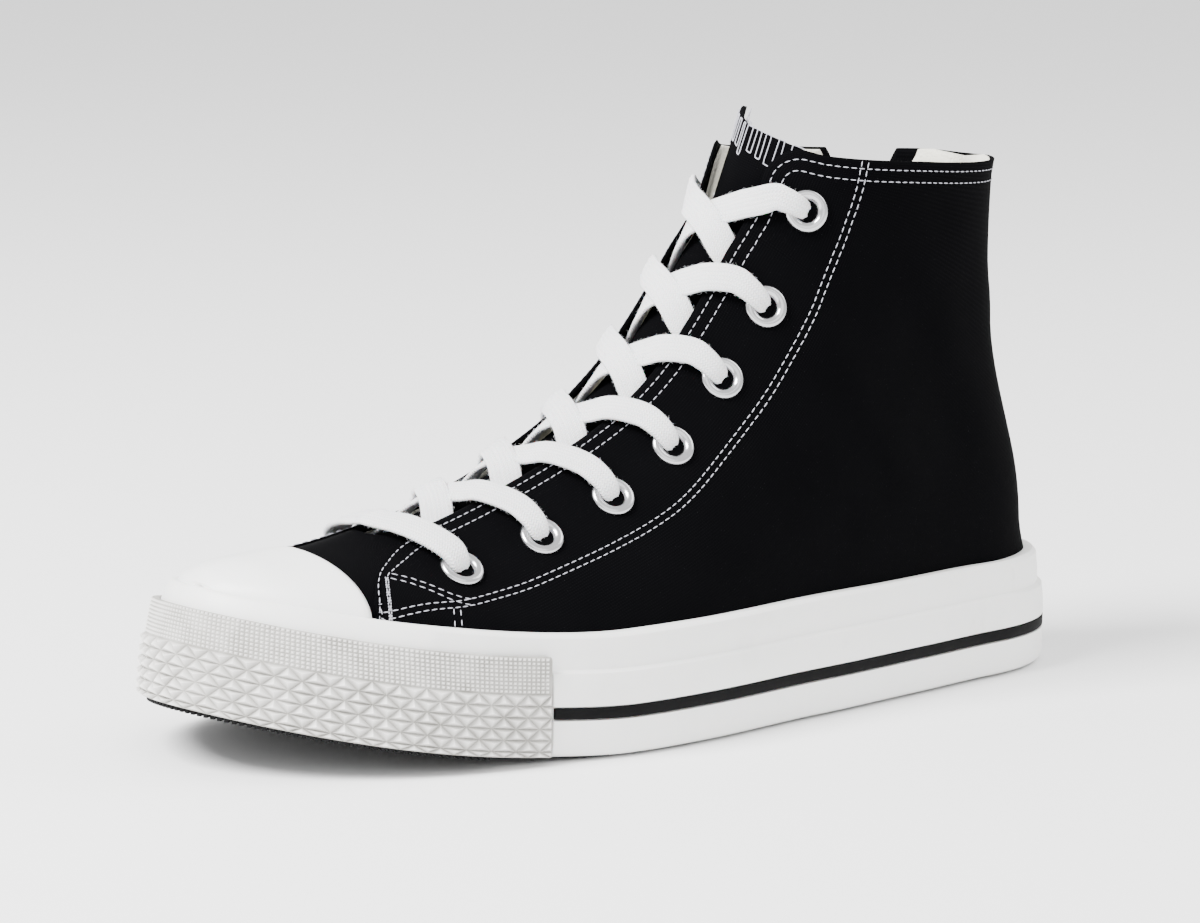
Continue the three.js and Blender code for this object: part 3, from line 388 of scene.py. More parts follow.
def gridFaces(rows, columns, start=0, loop=False, flip=False):
    faces = []
    for i in range(rows - 1):
        for j in range(columns if loop else columns - 1):
            k = (j + 1) % columns
            quad = (start + i * columns + j, start + i * columns + k,
                    start + (i + 1) * columns + k, start + (i + 1) * columns + j)
            faces.append(quad[::-1] if flip else quad)
    return faces


def tubeFaces(rings, sides):  # closed round, with a cap on each end
    final = rings * sides - 1
    caps = [tuple(range(sides)), tuple(final - k for k in range(sides))]
    return gridFaces(rings, sides, loop=True) + caps


def faceOut(thing):
    work = bmesh.new()
    work.from_mesh(thing.data)
    bmesh.ops.remove_doubles(work, verts=work.verts, dist=0.002 * mm)
    bmesh.ops.recalc_face_normals(work, faces=work.faces)
    work.to_mesh(thing.data)
    work.free()
    return thing


def shellOf(name, outer, inner, material, uvs=None):  # a closed sheet between two grids of points
    rows, columns = outer.shape[:2]
    count = rows * columns
    points = np.concatenate([outer.reshape(-1, 3), inner.reshape(-1, 3)])
    faces = gridFaces(rows, columns) + gridFaces(rows, columns, count, flip=True)
    ring = [(0, j) for j in range(columns)] + [(i, columns - 1) for i in range(1, rows)]
    ring += [(rows - 1, j) for j in range(columns - 2, -1, -1)] + [(i, 0) for i in range(rows - 2, 0, -1)]
    for (i, j), (k, m) in zip(ring, ring[1:] + ring[:1]):
        a, b = i * columns + j, k * columns + m
        faces.append((b, a, a + count, b + count))
    if uvs is not None:
        uvs = np.concatenate([uvs.reshape(-1, 2)] * 2)
    thing = faceOut(meshOf(name, points, faces, uvs))
    thing.data.materials.append(material)
    return thing


def clothUv(grid):  # lengths along the sheet in metres, so that a weave keeps its real pitch
    down = np.linalg.norm(np.diff(grid, axis=1), axis=2)
    v = np.concatenate([np.zeros((len(grid), 1)), np.cumsum(down, axis=1)], axis=1)
    u = runOf(grid[:, grid.shape[1] // 3])
    return np.stack([np.broadcast_to(u[:, None], v.shape), v], -1) * mm


def relax(grid, rounds):  # evens out the creases between sections, edges held
    for _ in range(rounds):
        grid[1:-1, 1:-1] = (grid[1:-1, 1:-1] * 2 + grid[:-2, 1:-1] + grid[2:, 1:-1]
                            + grid[1:-1, :-2] + grid[1:-1, 2:]) / 6
    return grid


def gridNormals(grid, row, column, outward):  # at one place the normal is known to lie with outward
    n = unit(np.cross(np.gradient(grid, axis=0), np.gradient(grid, axis=1)))
    return n if n[row, column] @ np.array(outward) > 0 else -n


def finishPiece(thing, body, slot, *replaced):
    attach(thing, body)
    if replaced:
        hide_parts(*replaced)
    return thing


def evaluatedCopy(thing, name):  # the modifiers' result as a plain mesh
    graph = bpy.context.evaluated_depsgraph_get()
    mesh = bpy.data.meshes.new_from_object(thing.evaluated_get(graph))
    thing.modifiers.clear()
    bpy.data.objects.remove(thing)
    mesh.name = name
    return addObject(name, mesh)


def soften(thing, width, angle, name):  # rounds the edges that turn by more than the angle
    bevel = thing.modifiers.new("soft", "BEVEL")
    bevel.width = width * mm
    bevel.segments = 2
    bevel.limit_method = "ANGLE"
    bevel.angle_limit = math.radians(angle)
    return evaluatedCopy(thing, name)


def setAttribute(thing, name, values):  # one number or one vector for each point
    kind, part = ("FLOAT_VECTOR", "vector") if np.ndim(values) > 1 else ("FLOAT", "value")
    layer = thing.data.attributes.new(name, kind, "POINT")
    layer.data.foreach_set(part, np.asarray(values, np.float32).ravel())


# Materials
def linear(code):
    parts = [int(code[i:i + 2], 16) / 255 for i in (1, 3, 5)]
    return tuple(c / 12.92 if c <= 0.04045 else ((c + 0.055) / 1.055) ** 2.4 for c in parts) + (1.0,)


def addNode(tree, kind, inputs=(), out=0, **settings):  # links the sockets among the inputs
    node = tree.nodes.new(kind)
    for key, value in settings.items():
        setattr(node, key, value)
    for key, value in dict(inputs).items():
        if isinstance(value, bpy.types.NodeSocket):
            tree.links.new(value, node.inputs[key])
        else:
            node.inputs[key].default_value = value
    return node.outputs[out]


def newMaterial(name, code, roughness, **values):
    material = bpy.data.materials.new(name)
    material.use_nodes = True
    shader = material.node_tree.nodes["Principled BSDF"]
    for key, value in {"Base_Color": linear(code), "Roughness": roughness, **values}.items():
        shader.inputs[key.replace("_", " ")].default_value = value
    return material, material.node_tree, shader


def mathNode(operation, *values):
    tree = next(value for value in values if isinstance(value, bpy.types.NodeSocket)).id_data
    return addNode(tree, "ShaderNodeMath", dict(enumerate(values)), operation=operation)


def times(a, b):
    return mathNode("MULTIPLY", a, b)


def timesPlus(a, b, c):
    return mathNode("MULTIPLY_ADD", a, b, c)


def oneLess(value):
    return mathNode("SUBTRACT", 1.0, value)


def clamped(value):
    return addNode(value.id_data, "ShaderNodeClamp", {0: value})


def addBump(shader, height, strength, distance):
    tree = height.id_data
    inputs = {"Strength": strength, "Distance": distance * mm, "Height": height}
    tree.links.new(addNode(tree, "ShaderNodeBump", inputs), shader.inputs["Normal"])


def colourMix(shader, factor, first, second):
    tree = factor.id_data
    inputs = {0: factor, 6: linear(first), 7: linear(second)}
    colour = addNode(tree, "ShaderNodeMix", inputs, 2, data_type="RGBA")
    tree.links.new(colour, shader.inputs["Base Color"])


def objectCoords(tree):
    return addNode(tree, "ShaderNodeTexCoord", out="Object")


def noiseOf(tree, scale, detail=3.0):
    inputs = {"Vector": objectCoords(tree), "Scale": scale, "Detail": detail}
    return addNode(tree, "ShaderNodeTexNoise", inputs)


def uvParts(tree):
    uv = addNode(tree, "ShaderNodeUVMap", uv_map="cloth")
    parts = addNode(tree, "ShaderNodeSeparateXYZ", {0: uv}).node
    return parts.outputs[0], parts.outputs[1]


def threadWave(value, pitch):  # 0 to 1, one crest each pitch
    return timesPlus(mathNode("SINE", times(value, 2 * math.pi / (pitch * mm))), 0.5, 0.5)


def cottonCanvas(name, dark, light, weave):
    # Cotton duck, plain woven and piece dyed: dull, with crossing threads that only show close up
    material, tree, shader = newMaterial(name, dark, 0.92, Specular_IOR_Level=0.03)
    u, v = uvParts(tree)
    cross = times(threadWave(u, weave), threadWave(v, weave * 1.15))
    addBump(shader, timesPlus(noiseOf(tree, 900.0, 2.0), 0.5, cross), 0.6, 0.06)
    lint = clamped(times(mathNode("SUBTRACT", noiseOf(tree, 420.0, 1.0), 0.79), 9.0))
    # painted highlight: the weave crests are coloured lighter, patchy in strength; the lint specks are real
    crestHighlight = times(cross, noiseOf(tree, 60.0, 4.0))
    colourMix(shader, timesPlus(crestHighlight, 0.9, lint), dark, light)
    return material


def whiteRubber(name, code, dirtAndShade, roughness):
    # Vulcanised rubber, calendered and buffed: satin, faintly uneven, with grey handling marks
    material, tree, shader = newMaterial(name, code, roughness, Specular_IOR_Level=0.45,
                                         Subsurface_Weight=0.06, Subsurface_Scale=1.5 * mm)
    soft = noiseOf(tree, 70.0)
    marks = clamped(times(mathNode("SUBTRACT", soft, 0.56), 2.2))
    colourMix(shader, clamped(timesPlus(marks, 0.35, scuffMask(tree))), code, dirtAndShade)
    addBump(shader, timesPlus(noiseOf(tree, 1400.0, 2.0), 0.25, soft), 0.25, 0.2)
    return material


def scuffMask(tree):  # faint grey rubs on the outer side of the heel
    total = 0.0
    for x, y, z, size in ((30.0, 33.0, 27.0, 7.0), (46.0, 37.0, 14.0, 6.0), (12.0, 25.0, 22.0, 5.0)):
        inputs = {0: objectCoords(tree), 1: tuple(toWorld([x, y, z]))}
        away = addNode(tree, "ShaderNodeVectorMath", inputs, "Value", operation="DISTANCE")
        total = mathNode("ADD", clamped(timesPlus(away, -1 / (size * mm), 1.0)), total)
    streak = clamped(timesPlus(noiseOf(tree, 420.0, 4.0), 4.0, -2.0))
    return times(times(total, streak), 0.5)


def pressedRubber(name, code, dirtAndShade, roughness):
    # The same rubber pressed in a relief mould: painted shade greys the low places of the relief, patchy in
    # strength
    material, tree, shader = newMaterial(name, code, roughness, Specular_IOR_Level=0.4)
    relief = addNode(tree, "ShaderNodeAttribute", out="Fac", attribute_name="relief")
    patchy = timesPlus(noiseOf(tree, 160.0), 0.7, 0.5)
    # painted shade: the grey second colour goes where the relief attribute is low
    colourMix(shader, times(oneLess(relief), patchy), code, dirtAndShade)
    addBump(shader, noiseOf(tree, 1400.0, 2.0), 0.15, 0.1)
    return material


def braidedCotton(name, code, shade):
    # Flat tubular braid of bleached cotton: matt, soft, with slanting yarns either side of each rib
    material, tree, shader = newMaterial(
        name, code, 0.92, Specular_IOR_Level=0.15, Sheen_Weight=0.25, Sheen_Roughness=0.6,
        Subsurface_Weight=0.08, Subsurface_Scale=0.8 * mm)
    u, v = uvParts(tree)
    halfRib = 0.55 * mm
    rib = mathNode("PINGPONG", v, halfRib)
    yarn = threadWave(timesPlus(rib, 1.1, u), 0.75)
    edge = mathNode("DIVIDE", rib, halfRib)
    addBump(shader, timesPlus(yarn, edge, times(noiseOf(tree, 2600.0), 0.7)), 0.8, 0.22)
    # painted shade: the yarn valleys and the rib edges are coloured darker
    colourMix(shader, timesPlus(oneLess(yarn), 0.4, times(oneLess(edge), 0.4)), code, shade)
    return material


def brushedLining(name, code, shade):
    # Brushed cotton twill backing: raised nap, cream, a little blotchy
    material, tree, shader = newMaterial(name, code, 0.95, Specular_IOR_Level=0.1, Sheen_Weight=0.3)
    nap = noiseOf(tree, 1500.0, 5.0)
    addBump(shader, nap, 0.9, 0.5)
    colourMix(shader, times(nap, noiseOf(tree, 120.0)), code, shade)
    return material


def platedMetal(name, code, roughness, grain):
    # Stamped and nickel plated brass: satin, with fine turning marks and small dings
    material, tree, shader = newMaterial(name, code, roughness, Metallic=1.0)
    marks = noiseOf(tree, grain, 4.0)
    tree.links.new(timesPlus(marks, 0.25, roughness - 0.12), shader.inputs["Roughness"])
    addBump(shader, marks, 0.12, 0.08)
    return material


def sewingThread(name, code, shade):
    # Twisted polyester core thread: slightly shiny, darker between its plies
    material, tree, shader = newMaterial(name, code, 0.6)
    twist = noiseOf(tree, 3200.0, 2.0)
    colourMix(shader, twist, code, shade)
    addBump(shader, twist, 0.3, 0.08)
    return material


def blackRubber(name, code, grime, roughness):
    # Moulded black rubber: even, satin where smooth, duller where it rubs the floor
    material, tree, shader = newMaterial(name, code, roughness, Specular_IOR_Level=0.08)
    colourMix(shader, times(noiseOf(tree, 200.0, 4.0), 0.2), code, grime)
    addBump(shader, noiseOf(tree, 1200.0), 0.3, 0.15)
    return material


canvas = cottonCanvas("blackCottonCanvas", "#020203", "#0d0d0f", 0.62)
tapeCloth = cottonCanvas("zipTapeTwill", "#040405", "#101012", 0.5)
foxingRubber = whiteRubber("whiteFoxingRubber", "#f1f1ef", "#c9c7c3", 0.42)
capRubber = whiteRubber("whiteCapRubber", "#f3f3f2", "#dedddb", 0.38)
# 8b8983 is painted shade for the low places of the bumper relief
bumperRubber = pressedRubber("mouldedBumperRubber", "#efedea", "#8b8983", 0.5)
stripeRubber = blackRubber("stripeRubber", "#040405", "#262625", 0.7)
treadRubber = blackRubber("treadRubber", "#19191a", "#262625", 0.7)
laceCotton = braidedCotton("whiteBraidedCotton", "#f7f7f7", "#c4c4c8")
liningCotton = brushedLining("creamLiningCotton", "#edebdf", "#cfcaba")
nickel = platedMetal("satinNickel", "#bdbdbf", 0.2, 900.0)
darkNickel = platedMetal("darkNickel", "#5b5c60", 0.34, 700.0)
thread = sewingThread("greyWhiteThread", "#c4c4cc", "#8b8b94")
print("materials made")


# Geometry Nodes: one tree lays stitches along a line, the other sets copies of a shape on points
def newTree(name, **inputs):
    tree = bpy.data.node_groups.new(name, "GeometryNodeTree")
    for label, kind in {"Geometry": "Geometry", **inputs, "Material": "Material"}.items():
        tree.interface.new_socket(label, in_out="INPUT", socket_type="NodeSocket" + kind)
    tree.interface.new_socket("Geometry", in_out="OUTPUT", socket_type="NodeSocketGeometry")
    return tree, tree.nodes.new("NodeGroupInput").outputs


def endTree(tree, given, result, instance=None, turn=None):  # with an instance, result holds its places
    if instance is not None:
        inputs = {"Points": result, "Instance": instance, "Rotation": turn}
        result = addNode(tree, "GeometryNodeInstanceOnPoints", inputs)
    real = addNode(tree, "GeometryNodeRealizeInstances", {0: result})
    painted = addNode(tree, "GeometryNodeSetMaterial", {"Geometry": real, "Material": given["Material"]})
    tree.links.new(painted, tree.nodes.new("NodeGroupOutput").inputs[0])
    return tree


def namedVector(tree, name):
    return addNode(tree, "GeometryNodeInputNamedAttribute", {"Name": name}, data_type="FLOAT_VECTOR")


def stitchTree():
    tree, given = newTree("stitchesAlongLine",
                          Pitch="Float", Stitch="Float", Thread="Float", Wander="Float")
    line = addNode(tree, "GeometryNodeMeshToCurve", {0: given["Geometry"]})
    even = addNode(tree, "GeometryNodeResampleCurve", {"Curve": line, "Length": given["Pitch"]},
                   mode="LENGTH")
    ball = addNode(tree, "GeometryNodeMeshUVSphere", {"Segments": 6, "Rings": 5, "Radius": 0.5})
    size = addNode(tree, "ShaderNodeCombineXYZ",
                   {0: given["Thread"], 1: given["Thread"], 2: given["Stitch"]})
    stitch = addNode(tree, "GeometryNodeTransform", {"Geometry": ball, "Scale": size})
    tangent = addNode(tree, "GeometryNodeInputTangent")
    inputs = {"Seed": 7, 0: (-1.0, -1.0, -1.0), 1: (1.0, 1.0, 1.0)}
    lean = addNode(tree, "FunctionNodeRandomValue", inputs, data_type="FLOAT_VECTOR")
    drift = addNode(tree, "ShaderNodeVectorMath", {0: lean, "Scale": given["Wander"]}, operation="SCALE")
    aim = addNode(tree, "ShaderNodeVectorMath", {0: tangent, 1: drift}, operation="ADD")
    turn = addNode(tree, "FunctionNodeAlignRotationToVector", {"Vector": aim}, axis="Z")
    return endTree(tree, given, even, stitch, turn)


def copiesTree():
    tree, given = newTree("copiesOnPoints", Copy="Object")
    shape = addNode(tree, "GeometryNodeObjectInfo", {"Object": given["Copy"]}, "Geometry")
    turn = addNode(tree, "FunctionNodeEulerToRotation", {0: namedVector(tree, "turn")})
    cloud = addNode(tree, "GeometryNodeMeshToPoints", {0: given["Geometry"]})
    return endTree(tree, given, cloud, shape, turn)


stitchesAlongLine = stitchTree()
copiesOnPoints = copiesTree()


def runTree(thing, tree, name, **values):
    modifier = thing.modifiers.new("make", "NODES")
    modifier.node_group = tree
    for item in tree.interface.items_tree:
        if item.in_out == "INPUT" and item.name in values:
            modifier[item.identifier] = values[item.name]
    return evaluatedCopy(thing, name)


def frameTurn(normal, along):  # the turn that takes +Z to the normal and +X along
    z = Vector(normal).normalized()
    x = (Vector(along) - z * z.dot(Vector(along))).normalized()
    return Matrix((x, z.cross(x), z)).transposed().to_euler()


def setCopies(name, shape, points, normals, alongs, material):
    holder = meshOf(name + "Points", points, [])
    setAttribute(holder, "turn", [frameTurn(n, a) for n, a in zip(normals, alongs)])
    return runTree(holder, copiesOnPoints, name, Copy=shape, Material=material)


def shapeOnly(name, points, faces):  # a shape to copy, in millimetres about its own middle
    mesh = bpy.data.meshes.new(name)
    mesh.from_pydata([tuple(np.array(p) * mm) for p in points], [], faces)
    mesh.update()
    return bpy.data.objects.new(name, mesh)


def blockShape(name, low, high):  # half length, half width and height of its bottom and of its top
    corners = ((-1, -1), (1, -1), (1, 1), (-1, 1))
    points = [(i * x, j * y, z) for x, y, z in (low, high) for i, j in corners]
    sides = [(k, n, n + 4, k + 4) for k, n in ((0, 1), (1, 2), (2, 3), (3, 0))]
    return shapeOnly(name, points, [(3, 2, 1, 0), (4, 5, 6, 7)] + sides)


def joinPieces(name, things, material):
    first = things[0]
    work = bmesh.new()
    for thing in things:
        work.from_mesh(thing.data)
    for face in work.faces:
        face.material_index = 0
    work.to_mesh(first.data)
    work.free()
    for thing in things[1:]:
        bpy.data.objects.remove(thing)
    first.name = name
    first.data.name = name
    first.data.materials.clear()
    first.data.materials.append(material)
    return first


# Upper
upper = {
    "canvas": 1.05,
    "lining": 1.0,
    "liningSetBack": 0.7,
    "liningStart": (16, 5),
    "cornerRadius": 6.5,
    "cornerShare": 0.05,
    "front": 3.52,
    "rowPower": 1.15,
    "flatEdge": (30, 0.25),
    "relaxRounds": 10,
    "rows": 150,
    "columns": 46,
    "vampStep": 0.8,
    "vampThick": 1.3,
    # foot of each soft fold, its far end, half width and depth, in shoe millimetres
    "folds": [
        ((52, 70), (78, 118), 9.0, 0.9), ((70, 56), (96, 92), 7.0, -0.7), ((30, 62), (44, 100), 8.0, 0.6),
        ((96, 46), (120, 70), 8.0, 0.6), ((140, 38), (160, 50), 7.0, 0.5), ((18, 96), (62, 104), 6.0, -0.5),
        ((180, 36), (214, 40), 5.0, 0.4), ((58, 120), (92, 126), 6.0, 0.5),
    ],
}


def foldDepth(grid, side):
    depth = np.zeros(grid.shape[:2])
    xz = grid[..., [0, 2]]
    for a, b, width, deep in upper["folds"]:
        a, b = np.array(a, float), np.array(b, float)
        if side < 0:
            a, b = a + [6, 3], b + [-4, -5]
        line = b - a
        t = np.clip(((xz - a) @ line) / (line @ line), 0, 1)
        away = np.linalg.norm(xz - (a + t[..., None] * line), axis=-1)
        depth += deep * np.exp(-(away / width) ** 2)
    return depth


def quarterGrid(side):
    def overCollar(r):
        p = upperPoint(r, edgeShare(r, side), side)
        return p[..., 2] - collarZ(p[..., 0])
    top = float(rootOf(overCollar, *last["collarRows"], np.zeros(1))[0])
    front = upper["front"]
    t = np.linspace(0, 1, upper["rows"])
    row = front + (top - front) * (1 - (1 - t) ** upper["rowPower"])
    share = edgeShare(row, side)
    w = crowded(np.linspace(0, 1, upper["columns"]), 0.35, 1.7)
    topRow = collarRow(share[-1] + (1 - share[-1]) * w, side)
    corner = last["cornerRow"] - 1.0
    over = np.clip((row - corner) / (top - corner), 0, 1)[:, None]
    edge = upperPoint(row + over[:, 0] * (topRow[0] - top), share, side)
    close = np.clip(1 - (edge[-1, 2] - edge[:, 2]) / upper["cornerRadius"], 0, 1)
    share = share + upper["cornerShare"] * (1 - np.sqrt(1 - close ** 2))
    s = share[:, None] + (1 - share[:, None]) * w[None, :]
    topRow = collarRow(share[-1] + (1 - share[-1]) * w, side)
    rows = row[:, None] + over * (topRow[None, :] - top)
    grid = relax(upperPoint(rows, s, side), upper["relaxRounds"])
    normal = gridNormals(grid, len(grid) // 2, 20, (0, side, 0))
    flatRows, flatShare = upper["flatEdge"]  # no fold reaches the edges
    inside = foldDepth(grid, side) * blendUp(np.arange(len(grid))[:, None] / flatRows)
    grid = grid - normal * (inside * blendUp(w / flatShare)[None, :])[..., None]
    return grid, normal


def roundedSheet(grid, normal, near, far):  # outer and inner grids whose free edges turn over softly
    turned = (far - near) * 0.275

    def edged(depth, edgeDepth):
        result = grid - normal * depth
        for line in ((slice(None), 0), (-1, slice(None))):
            result[line] = (grid - normal * edgeDepth)[line]
        return result
    return edged(near, near + turned), edged(far, far - turned)


quarterSurfaces = {}
quarterPieces, liningPieces = [], []
for side in (1, -1):
    grid, normal = quarterGrid(side)
    quarterSurfaces[side] = (grid, normal)
    uv = clothUv(grid)
    outer, inner = roundedSheet(grid, normal, 0.0, upper["canvas"])
    quarterPieces.append(shellOf("quarter%d" % side, outer, inner, canvas, uv))
    first, inward = upper["liningStart"]  # the canvas is turned over along the throat
    near = upper["canvas"] + 0.03
    grid, normal = grid[first:, inward:], normal[first:, inward:]
    drop = unit(grid[-2] - grid[-1]) * upper["liningSetBack"]
    outer, inner = roundedSheet(grid, normal, near, near + upper["lining"])
    outer[-1] += drop
    inner[-1] += drop
    liningPieces.append(shellOf("lining%d" % side, outer, inner, liningCotton, uv[first:, inward:]))


def vampGrid(depth, front, rows, columns, rearAt):
    v = np.linspace(-1, 1, columns)
    v = np.sign(v) * crowded(np.abs(v), 0.6, 1.8)
    grid = np.zeros((rows, columns, 3))
    for side in (1, -1):
        here = (v >= 0) if side > 0 else (v < 0)
        s = np.abs(v[here])

        def beforeRear(r):
            p = upperPoint(r, s, side, depth)
            return rearAt(p) - p[..., 0]
        rear = rootOf(beforeRear, 2.0, 9.5, s)
        t = np.linspace(0, 1, rows)[:, None]
        grid[:, here] = upperPoint(front + (rear[None, :] - front) * t, s[None, :], side, depth)
    return grid


def vampRear(p):  # the U of the throat's end, and hidden under the quarters to the sides
    half = last["throatHalf"]
    endX = last["throatEnd"] * length
    curve = endX - half + np.sqrt(np.maximum(half ** 2 - p[..., 1] ** 2, 0))
    return np.where(np.abs(p[..., 1]) < half, curve, endX - half - 6)


vamp = relax(vampGrid(upper["vampStep"], 2.9, 46, 91, vampRear), 3)
vampNormal = gridNormals(vamp, 20, 45, (0, 0, 1))
vampPiece = shellOf("vamp", vamp, vamp - vampNormal * upper["vampThick"], canvas, clothUv(vamp))
print("upper surfaces made")


def surfaceTree(grid, normal):  # only the outer face, its polygons turned outward
    points = toWorld(grid.reshape(-1, 3))
    faces = gridFaces(*grid.shape[:2])
    a, b, c = (points[k] for k in faces[len(faces) // 2][:3])
    if np.cross(b - a, c - b) @ normal.reshape(-1, 3)[faces[len(faces) // 2][0]] < 0:
        faces = [face[::-1] for face in faces]
    return BVHTree.FromPolygons([Vector(p) for p in points], faces)


surfaceOf = {side: surfaceTree(*quarterSurfaces[side]) for side in (1, -1)}

# Zip slot in the inner quarter, its sides folded back to a V at the collar
zipper = {
    "place": 0.14,
    "bottom": 52.0,
    "sliderHeight": 117.0,
    "tapeWidth": 9.0,
    "notch": 10.5,
    "turnedEdge": 3.2,
    "toothPitch": 1.25,
    "toothWidth": 3.2,
}
zipX = zipper["place"] * length


def cutSlot(thing, extra):
    half = zipper["tapeWidth"] / 2 + last["clearance"] + extra
    top = last["collarHeight"] + 3
    notch = zipper["notch"] + extra
    profile = [(zipX - half, zipper["bottom"]), (zipX + half, zipper["bottom"]),
               (zipX + half, zipper["sliderHeight"] + 8), (zipX + notch, top), (zipX + notch, top + 10),
               (zipX - notch, top + 10), (zipX - notch, top), (zipX - half, zipper["sliderHeight"] + 8)]
    count = len(profile)
    points = [(x, y, z) for y in (-70.0, -5.0) for x, z in profile]
    faces = [tuple(range(count)), tuple(range(2 * count - 1, count - 1, -1))]
    faces += [(k, k + count, (k + 1) % count + count, (k + 1) % count) for k in range(count)]
    cutter = faceOut(meshOf("slotCutter", points, faces, smooth=False))
    modifier = thing.modifiers.new("slot", "BOOLEAN")
    modifier.operation = "DIFFERENCE"
    modifier.solver = "EXACT"
    modifier.object = cutter
    result = evaluatedCopy(thing, thing.name)
    bpy.data.objects.remove(cutter)
    return result


quarterPieces[1] = cutSlot(quarterPieces[1], 0.0)
liningPieces[1] = cutSlot(liningPieces[1], zipper["turnedEdge"])
finishPiece(joinPieces("upperCanvas", quarterPieces + [vampPiece], canvas), "shoe", "canvas", "upper")
finishPiece(joinPieces("upperLining", liningPieces, liningCotton), "shoe", "lining_cotton")
print("upper made")

# Stitching: rows follow the edges, and each eyestay and toe seam has its own listed line
stitching = {
    "pitch": 2.15,
    "stitch": 1.6,
    "thread": 0.31,
    "wander": 0.06,
    "edgeRows": (2.3, 5.3),
    "edgeStart": 213.0,
    "doubleGap": 1.8,
    "eyestay": [(83.5, 26.2, 136.4), (86.9, 25.9, 123.9), (97.1, 24.2, 102.8), (113.9, 26.8, 82.4),
                (129.9, 28.6, 68.6), (148.4, 32.1, 56.9), (169.4, 33.4, 49.3), (191.3, 33.1, 43.4),
                (204.7, 32.5, 40.9), (215.2, 32.2, 39.7), (225.4, 31.1, 39.7), (234.1, 29.3, 38.7),
                (238.4, 27.4, 38.6)],
    "slotRow": 2.4,
    "stayCover": 8.5,
    "front": [(212.0, 13.4, 54.2), (216, 13.8, 52.7), (222.4, 15.6, 50.6), (228.5, 19, 48),
              (233.3, 22.3, 45.4), (235.9, 25.1, 42.8), (237.2, 27.9, 38.6), (237.6, 28.4, 34.0)],
    "frontInner": [(212.0, 16.6, 53.2), (217, 17.2, 50.9), (222.4, 19.0, 48.9), (227.6, 21.0, 47.2),
                   (230.8, 22.6, 45.6), (233.2, 26.4, 42.4), (234.6, 28.9, 38.6), (235.2, 29.9, 35.0)],
    "diagonal": [(229.4, 23.5, 45.4), (226.4, 25.7, 44.4), (222.5, 28.6, 42.5), (218.4, 31.5, 40.2),
                 (214.5, 33.2, 38.8)],
    "upright": [(219.3, 33.8, 37.5), (221.3, 36, 31.0)],
    "bartackFrom": 4,  # the place in frontInner where the bartack starts
    "bartackPitch": 0.8,
}


def curveThrough(points, step=0.6):  # Catmull-Rom through given points, evenly spaced
    p = np.asarray(points, float)
    p = np.concatenate([[2 * p[0] - p[1]], p, [2 * p[-1] - p[-2]]])
    result = []
    for i in range(1, len(p) - 2):
        count = max(2, int(np.linalg.norm(p[i + 1] - p[i]) / step))
        for t in np.arange(count) / count:
            result.append(0.5 * ((2 * p[i]) + (p[i + 1] - p[i - 1]) * t
                                 + (2 * p[i - 1] - 5 * p[i] + 4 * p[i + 1] - p[i + 2]) * t * t
                                 + (3 * p[i] - p[i - 1] - 3 * p[i + 1] + p[i + 2]) * t ** 3))
    result.append(p[-2])
    return np.array(result)


def snap(points, side, lift=0.1):
    placed, normals = [], []
    for p in points:
        spot, normal, _, _ = surfaceOf[side].find_nearest(Vector(toWorld(p)))
        placed.append(np.array(spot) / mm - origin + np.array(normal) * lift)
        normals.append(normal)
    return np.array(placed), np.array(normals)


def beside(points, normals, gap):  # the same line moved over along the surface
    return points + unit(np.cross(normals, np.gradient(points, axis=0))) * gap


def evenLine(points, rounds):
    points = points.copy()
    for _ in range(rounds):
        points[1:-1] = (points[:-2] + points[1:-1] * 2 + points[2:]) / 4
    return points


def stitchLine(name, points, pitch=stitching["pitch"], stitch=stitching["stitch"]):
    line = meshOf(name, points, [], edges=[(k, k + 1) for k in range(len(points) - 1)])
    result = runTree(line, stitchesAlongLine, name, Pitch=pitch * mm, Stitch=stitch * mm,
                     Thread=stitching["thread"] * mm, Wander=stitching["wander"], Material=thread)
    result.data.shade_smooth()
    return result


def onInnerSide(x, z, lift):
    start = Vector(toWorld([x, -120.0, z]))
    spot, normal, _, _ = surfaceOf[-1].ray_cast(start, Vector((0, 1, 0)))
    normal = np.array(normal)
    return np.array(spot) / mm - origin + normal * lift, normal


def openStretches(points, side):  # the parts of a row outside the zip slot and the heel stay
    covered = (points[:, 0] < 25) & (np.abs(points[:, 1]) < stitching["stayCover"])
    half = np.interp(points[:, 2], [zipper["sliderHeight"] + 8, last["collarHeight"] + 3],
                     [zipper["tapeWidth"] / 2 + 1.2, zipper["notch"] + 1.2])
    slot = (side < 0) & (np.abs(points[:, 0] - zipX) < half) & (points[:, 2] > zipper["bottom"] - 1.5)
    free = ~(covered | slot)
    cuts = np.flatnonzero(np.diff(free.astype(int))) + 1
    parts = zip(np.split(points, cuts), np.split(free, cuts))
    return [part for part, keep in parts if keep[0] and len(part) > 4]


